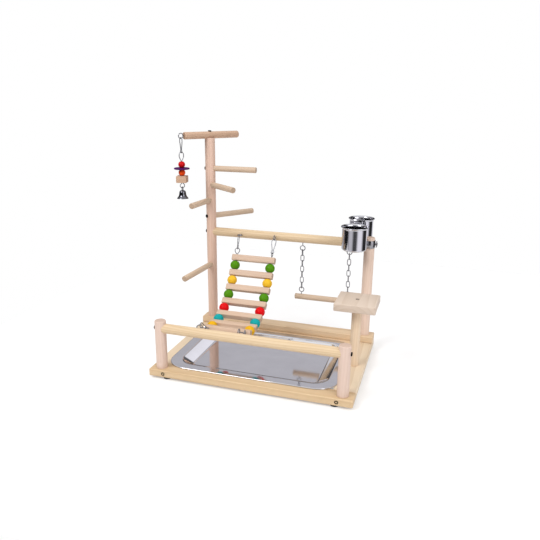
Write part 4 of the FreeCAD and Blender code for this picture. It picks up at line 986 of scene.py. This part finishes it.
def make_wing_screw():
    """The bracket's wing screw: shank, boss and two rounded wings."""
    low, high = corners("bracket_wing_screw")
    centre, length = middle("bracket_wing_screw"), high.x - low.x
    shank = lathe([(0, 0), (2, 0), (2, length - BOSS), (3.7, length - BOSS),
                   (4, length - BOSS + 0.3), (4, length - 0.6), (3.4, length), (0, length)], 32)
    shapes = [placed(shank, at((low.x, centre.y, centre.z), X, Z))]
    for side in (-1, 1):
        wing = bmesh.new()
        bmesh.ops.create_circle(wing, cap_ends=True, segments=40, radius=WING_RADIUS)
        bmesh.ops.scale(wing, vec=(1, 1.05, 1), verts=wing.verts)
        for vert in wing.verts:
            vert.co.x *= 1 + 0.06 * vert.co.y
        place = Matrix.Translation((high.x - BOSS / 2 - side * WING_SHEET / 2, centre.y,
                                    centre.z + side * WING_RISE))
        shapes.append(placed(plate(wing, WING_SHEET, 0.5, 3),
                             place @ axes(Y, Z * side, X * side)))
    put(joined(shapes), "wing_bolt", bracket_steel, ["bracket_wing_screw"], smooth=35)


make_boards()
make_feet()
make_post("rear_post", 2.2)
make_post("platform_post", 0.4)
make_front_posts()
make_post("tall_post", 0.4)
make_crossbars()
make_side_perches()
toy_end, toy_way = make_top_perch()
make_screws()
make_tray()
make_ladder()
make_swing()
make_toy(toy_end, toy_way)
make_cup("cup_front", 0)
make_cup("cup_rear", 180)
make_bracket()
make_wing_screw()


# ---- stage and camera

# The photograph's camera, found from the edges of the stand.
CAMERA_RIGHT, CAMERA_UP = Vector((0.9548, 0.2972, 0.0101)), Vector((-0.0949, 0.2722, 0.9575))
CAMERA_PLACE, CAMERA_LENS, CAMERA_SENSOR = (0.3307, -1.0712, 0.5461), 37.21, 36
STAND_MIDDLE = Vector((0, 0, 0.2))


def make_camera():
    """The photograph's own viewpoint."""
    data = bpy.data.cameras.new("view")
    data.sensor_width, data.lens = CAMERA_SENSOR, CAMERA_LENS
    camera = bpy.data.objects.new("view", data)
    turn = axes(CAMERA_RIGHT, CAMERA_UP, CAMERA_RIGHT.cross(CAMERA_UP))
    camera.matrix_world = Matrix.Translation(CAMERA_PLACE) @ turn
    bpy.context.scene.collection.objects.link(camera)
    bpy.context.scene.camera = camera


def lamp(name, place, size, power):
    """A square soft lamp aimed at the stand."""
    data = bpy.data.lights.new(name, "AREA")
    data.size, data.energy = size, power
    light = bpy.data.objects.new(name, data)
    light.matrix_world = at(place, Vector(place) - STAND_MIDDLE, X)
    bpy.context.scene.collection.objects.link(light)


def seen_white(tree, surface, share, strength):
    """Mix plain white into a surface for camera, mirror and glass rays."""
    path = node(tree, "ShaderNodeLightPath").outputs
    seen = maths(tree, "MAXIMUM", path["Is Camera Ray"], path["Is Glossy Ray"])
    seen = maths(tree, "MAXIMUM", seen, path["Is Transmission Ray"])
    white = node(tree, "ShaderNodeEmission", {"Color": (1, 1, 1, 1), "Strength": strength})
    return node(tree, "ShaderNodeMixShader", {0: maths(tree, "MULTIPLY", seen, share), 1: surface,
                                              2: white.outputs[0]}).outputs[0]


FLOOR_LOW, FLOOR_HIGH = Vector((-0.7, -0.6, 0)), Vector((0.7, 0.9, 0))
CAMERA_BEARING = math.radians(-72.9)
# The studio round the stand: bearing from the camera in degrees, to the right, and brightness.
STUDIO = [(-180, 0.60), (-122, 0.45), (-106, 0.015), (-72, 0.015), (-54, 0.8), (-32, 0.8),
          (-14, 0.08), (10, 0.12), (28, 1.3), (58, 1.3), (80, 0.03), (122, 0.05), (130, 1.1),
          (153, 1.1), (157, 0.08), (161, 0.08), (165, 0.60), (180, 0.60)]
# Its walls are darker just above the floor, which draws the bends of the tray: rise and share.
SKIRTING = [(0, 1), (0.03, 1), (0.06, 0.12), (0.27, 0.12), (0.35, 1), (1, 1)]


def make_floor():
    """A pale floor that keeps the stand's soft shadow."""
    shape = bmesh.new()
    bmesh.ops.create_grid(shape, x_segments=1, y_segments=1, size=0.5)
    bmesh.ops.scale(shape, vec=FLOOR_HIGH - FLOOR_LOW + Z, verts=shape.verts)
    bmesh.ops.translate(shape, vec=(FLOOR_LOW + FLOOR_HIGH) / 2, verts=shape.verts)
    mesh = bpy.data.meshes.new("floor")
    shape.to_mesh(mesh)
    shape.free()
    floor = bpy.data.objects.new("floor", mesh)
    bpy.context.scene.collection.objects.link(floor)
    material, tree, shader = new_material("floor", Roughness=0.9, Base_Color=(0.9, 0.9, 0.9, 1),
                                          Specular_IOR_Level=0)
    out = tree.nodes["Material Output"]
    tree.links.new(seen_white(tree, shader.outputs[0], 0.2, 1.4), out.inputs["Surface"])
    mesh.materials.append(material)


def ramp(tree, factor, stops):
    """A colour ramp through (position, colour) stops."""
    made = node(tree, "ShaderNodeValToRGB", {"Fac": factor})
    elements = made.color_ramp.elements
    for _ in stops[1:-1]:
        elements.new(0.5)
    for element, (position, colour) in zip(elements, stops):
        element.position, element.color = position, (*colour, 1)
    return made.outputs["Color"]


def make_studio():
    """White to the camera; round the stand, tall soft boxes, dark gaps and a bright ceiling."""
    world = bpy.data.worlds.new("studio")
    world.use_nodes = True
    bpy.context.scene.world = world
    tree = world.node_tree
    way = node(tree, "ShaderNodeTexCoord").outputs["Generated"]
    turned = node(tree, "ShaderNodeMapping", {"Vector": way, "Rotation": (0, 0, -CAMERA_BEARING)})
    bearing = node(tree, "ShaderNodeTexGradient", {"Vector": turned.outputs[0]},
                   gradient_type="RADIAL").outputs["Fac"]
    height = node(tree, "ShaderNodeSeparateXYZ", {"Vector": way}).outputs["Z"]
    walls = ramp(tree, bearing, [(turn / 360 + 0.5, (level, 0.98 * level, 1.03 * level))
                                 for turn, level in STUDIO])
    skirting = ramp(tree, height, [(rise, (level,) * 3) for rise, level in SKIRTING])
    overhead = node(tree, "ShaderNodeMapRange", {"Value": height, "From Min": 0.5,
                                                 "From Max": 0.7}).outputs[0]
    room = blend(tree, overhead, product(tree, walls, skirting), (1.1, 1.1, 1.1, 1))
    camera_ray = node(tree, "ShaderNodeLightPath").outputs["Is Camera Ray"]
    tree.links.new(blend(tree, camera_ray, room, (1, 1, 1, 1)),
                   tree.nodes["Background"].inputs["Color"])


make_camera()
make_floor()
make_studio()
lamp("key", (-0.9, -1.3, 1.5), 0.9, 19.5)
lamp("fill", (1.4, -0.9, 0.9), 1.2, 9)
bpy.context.scene.view_settings.view_transform = "Standard"
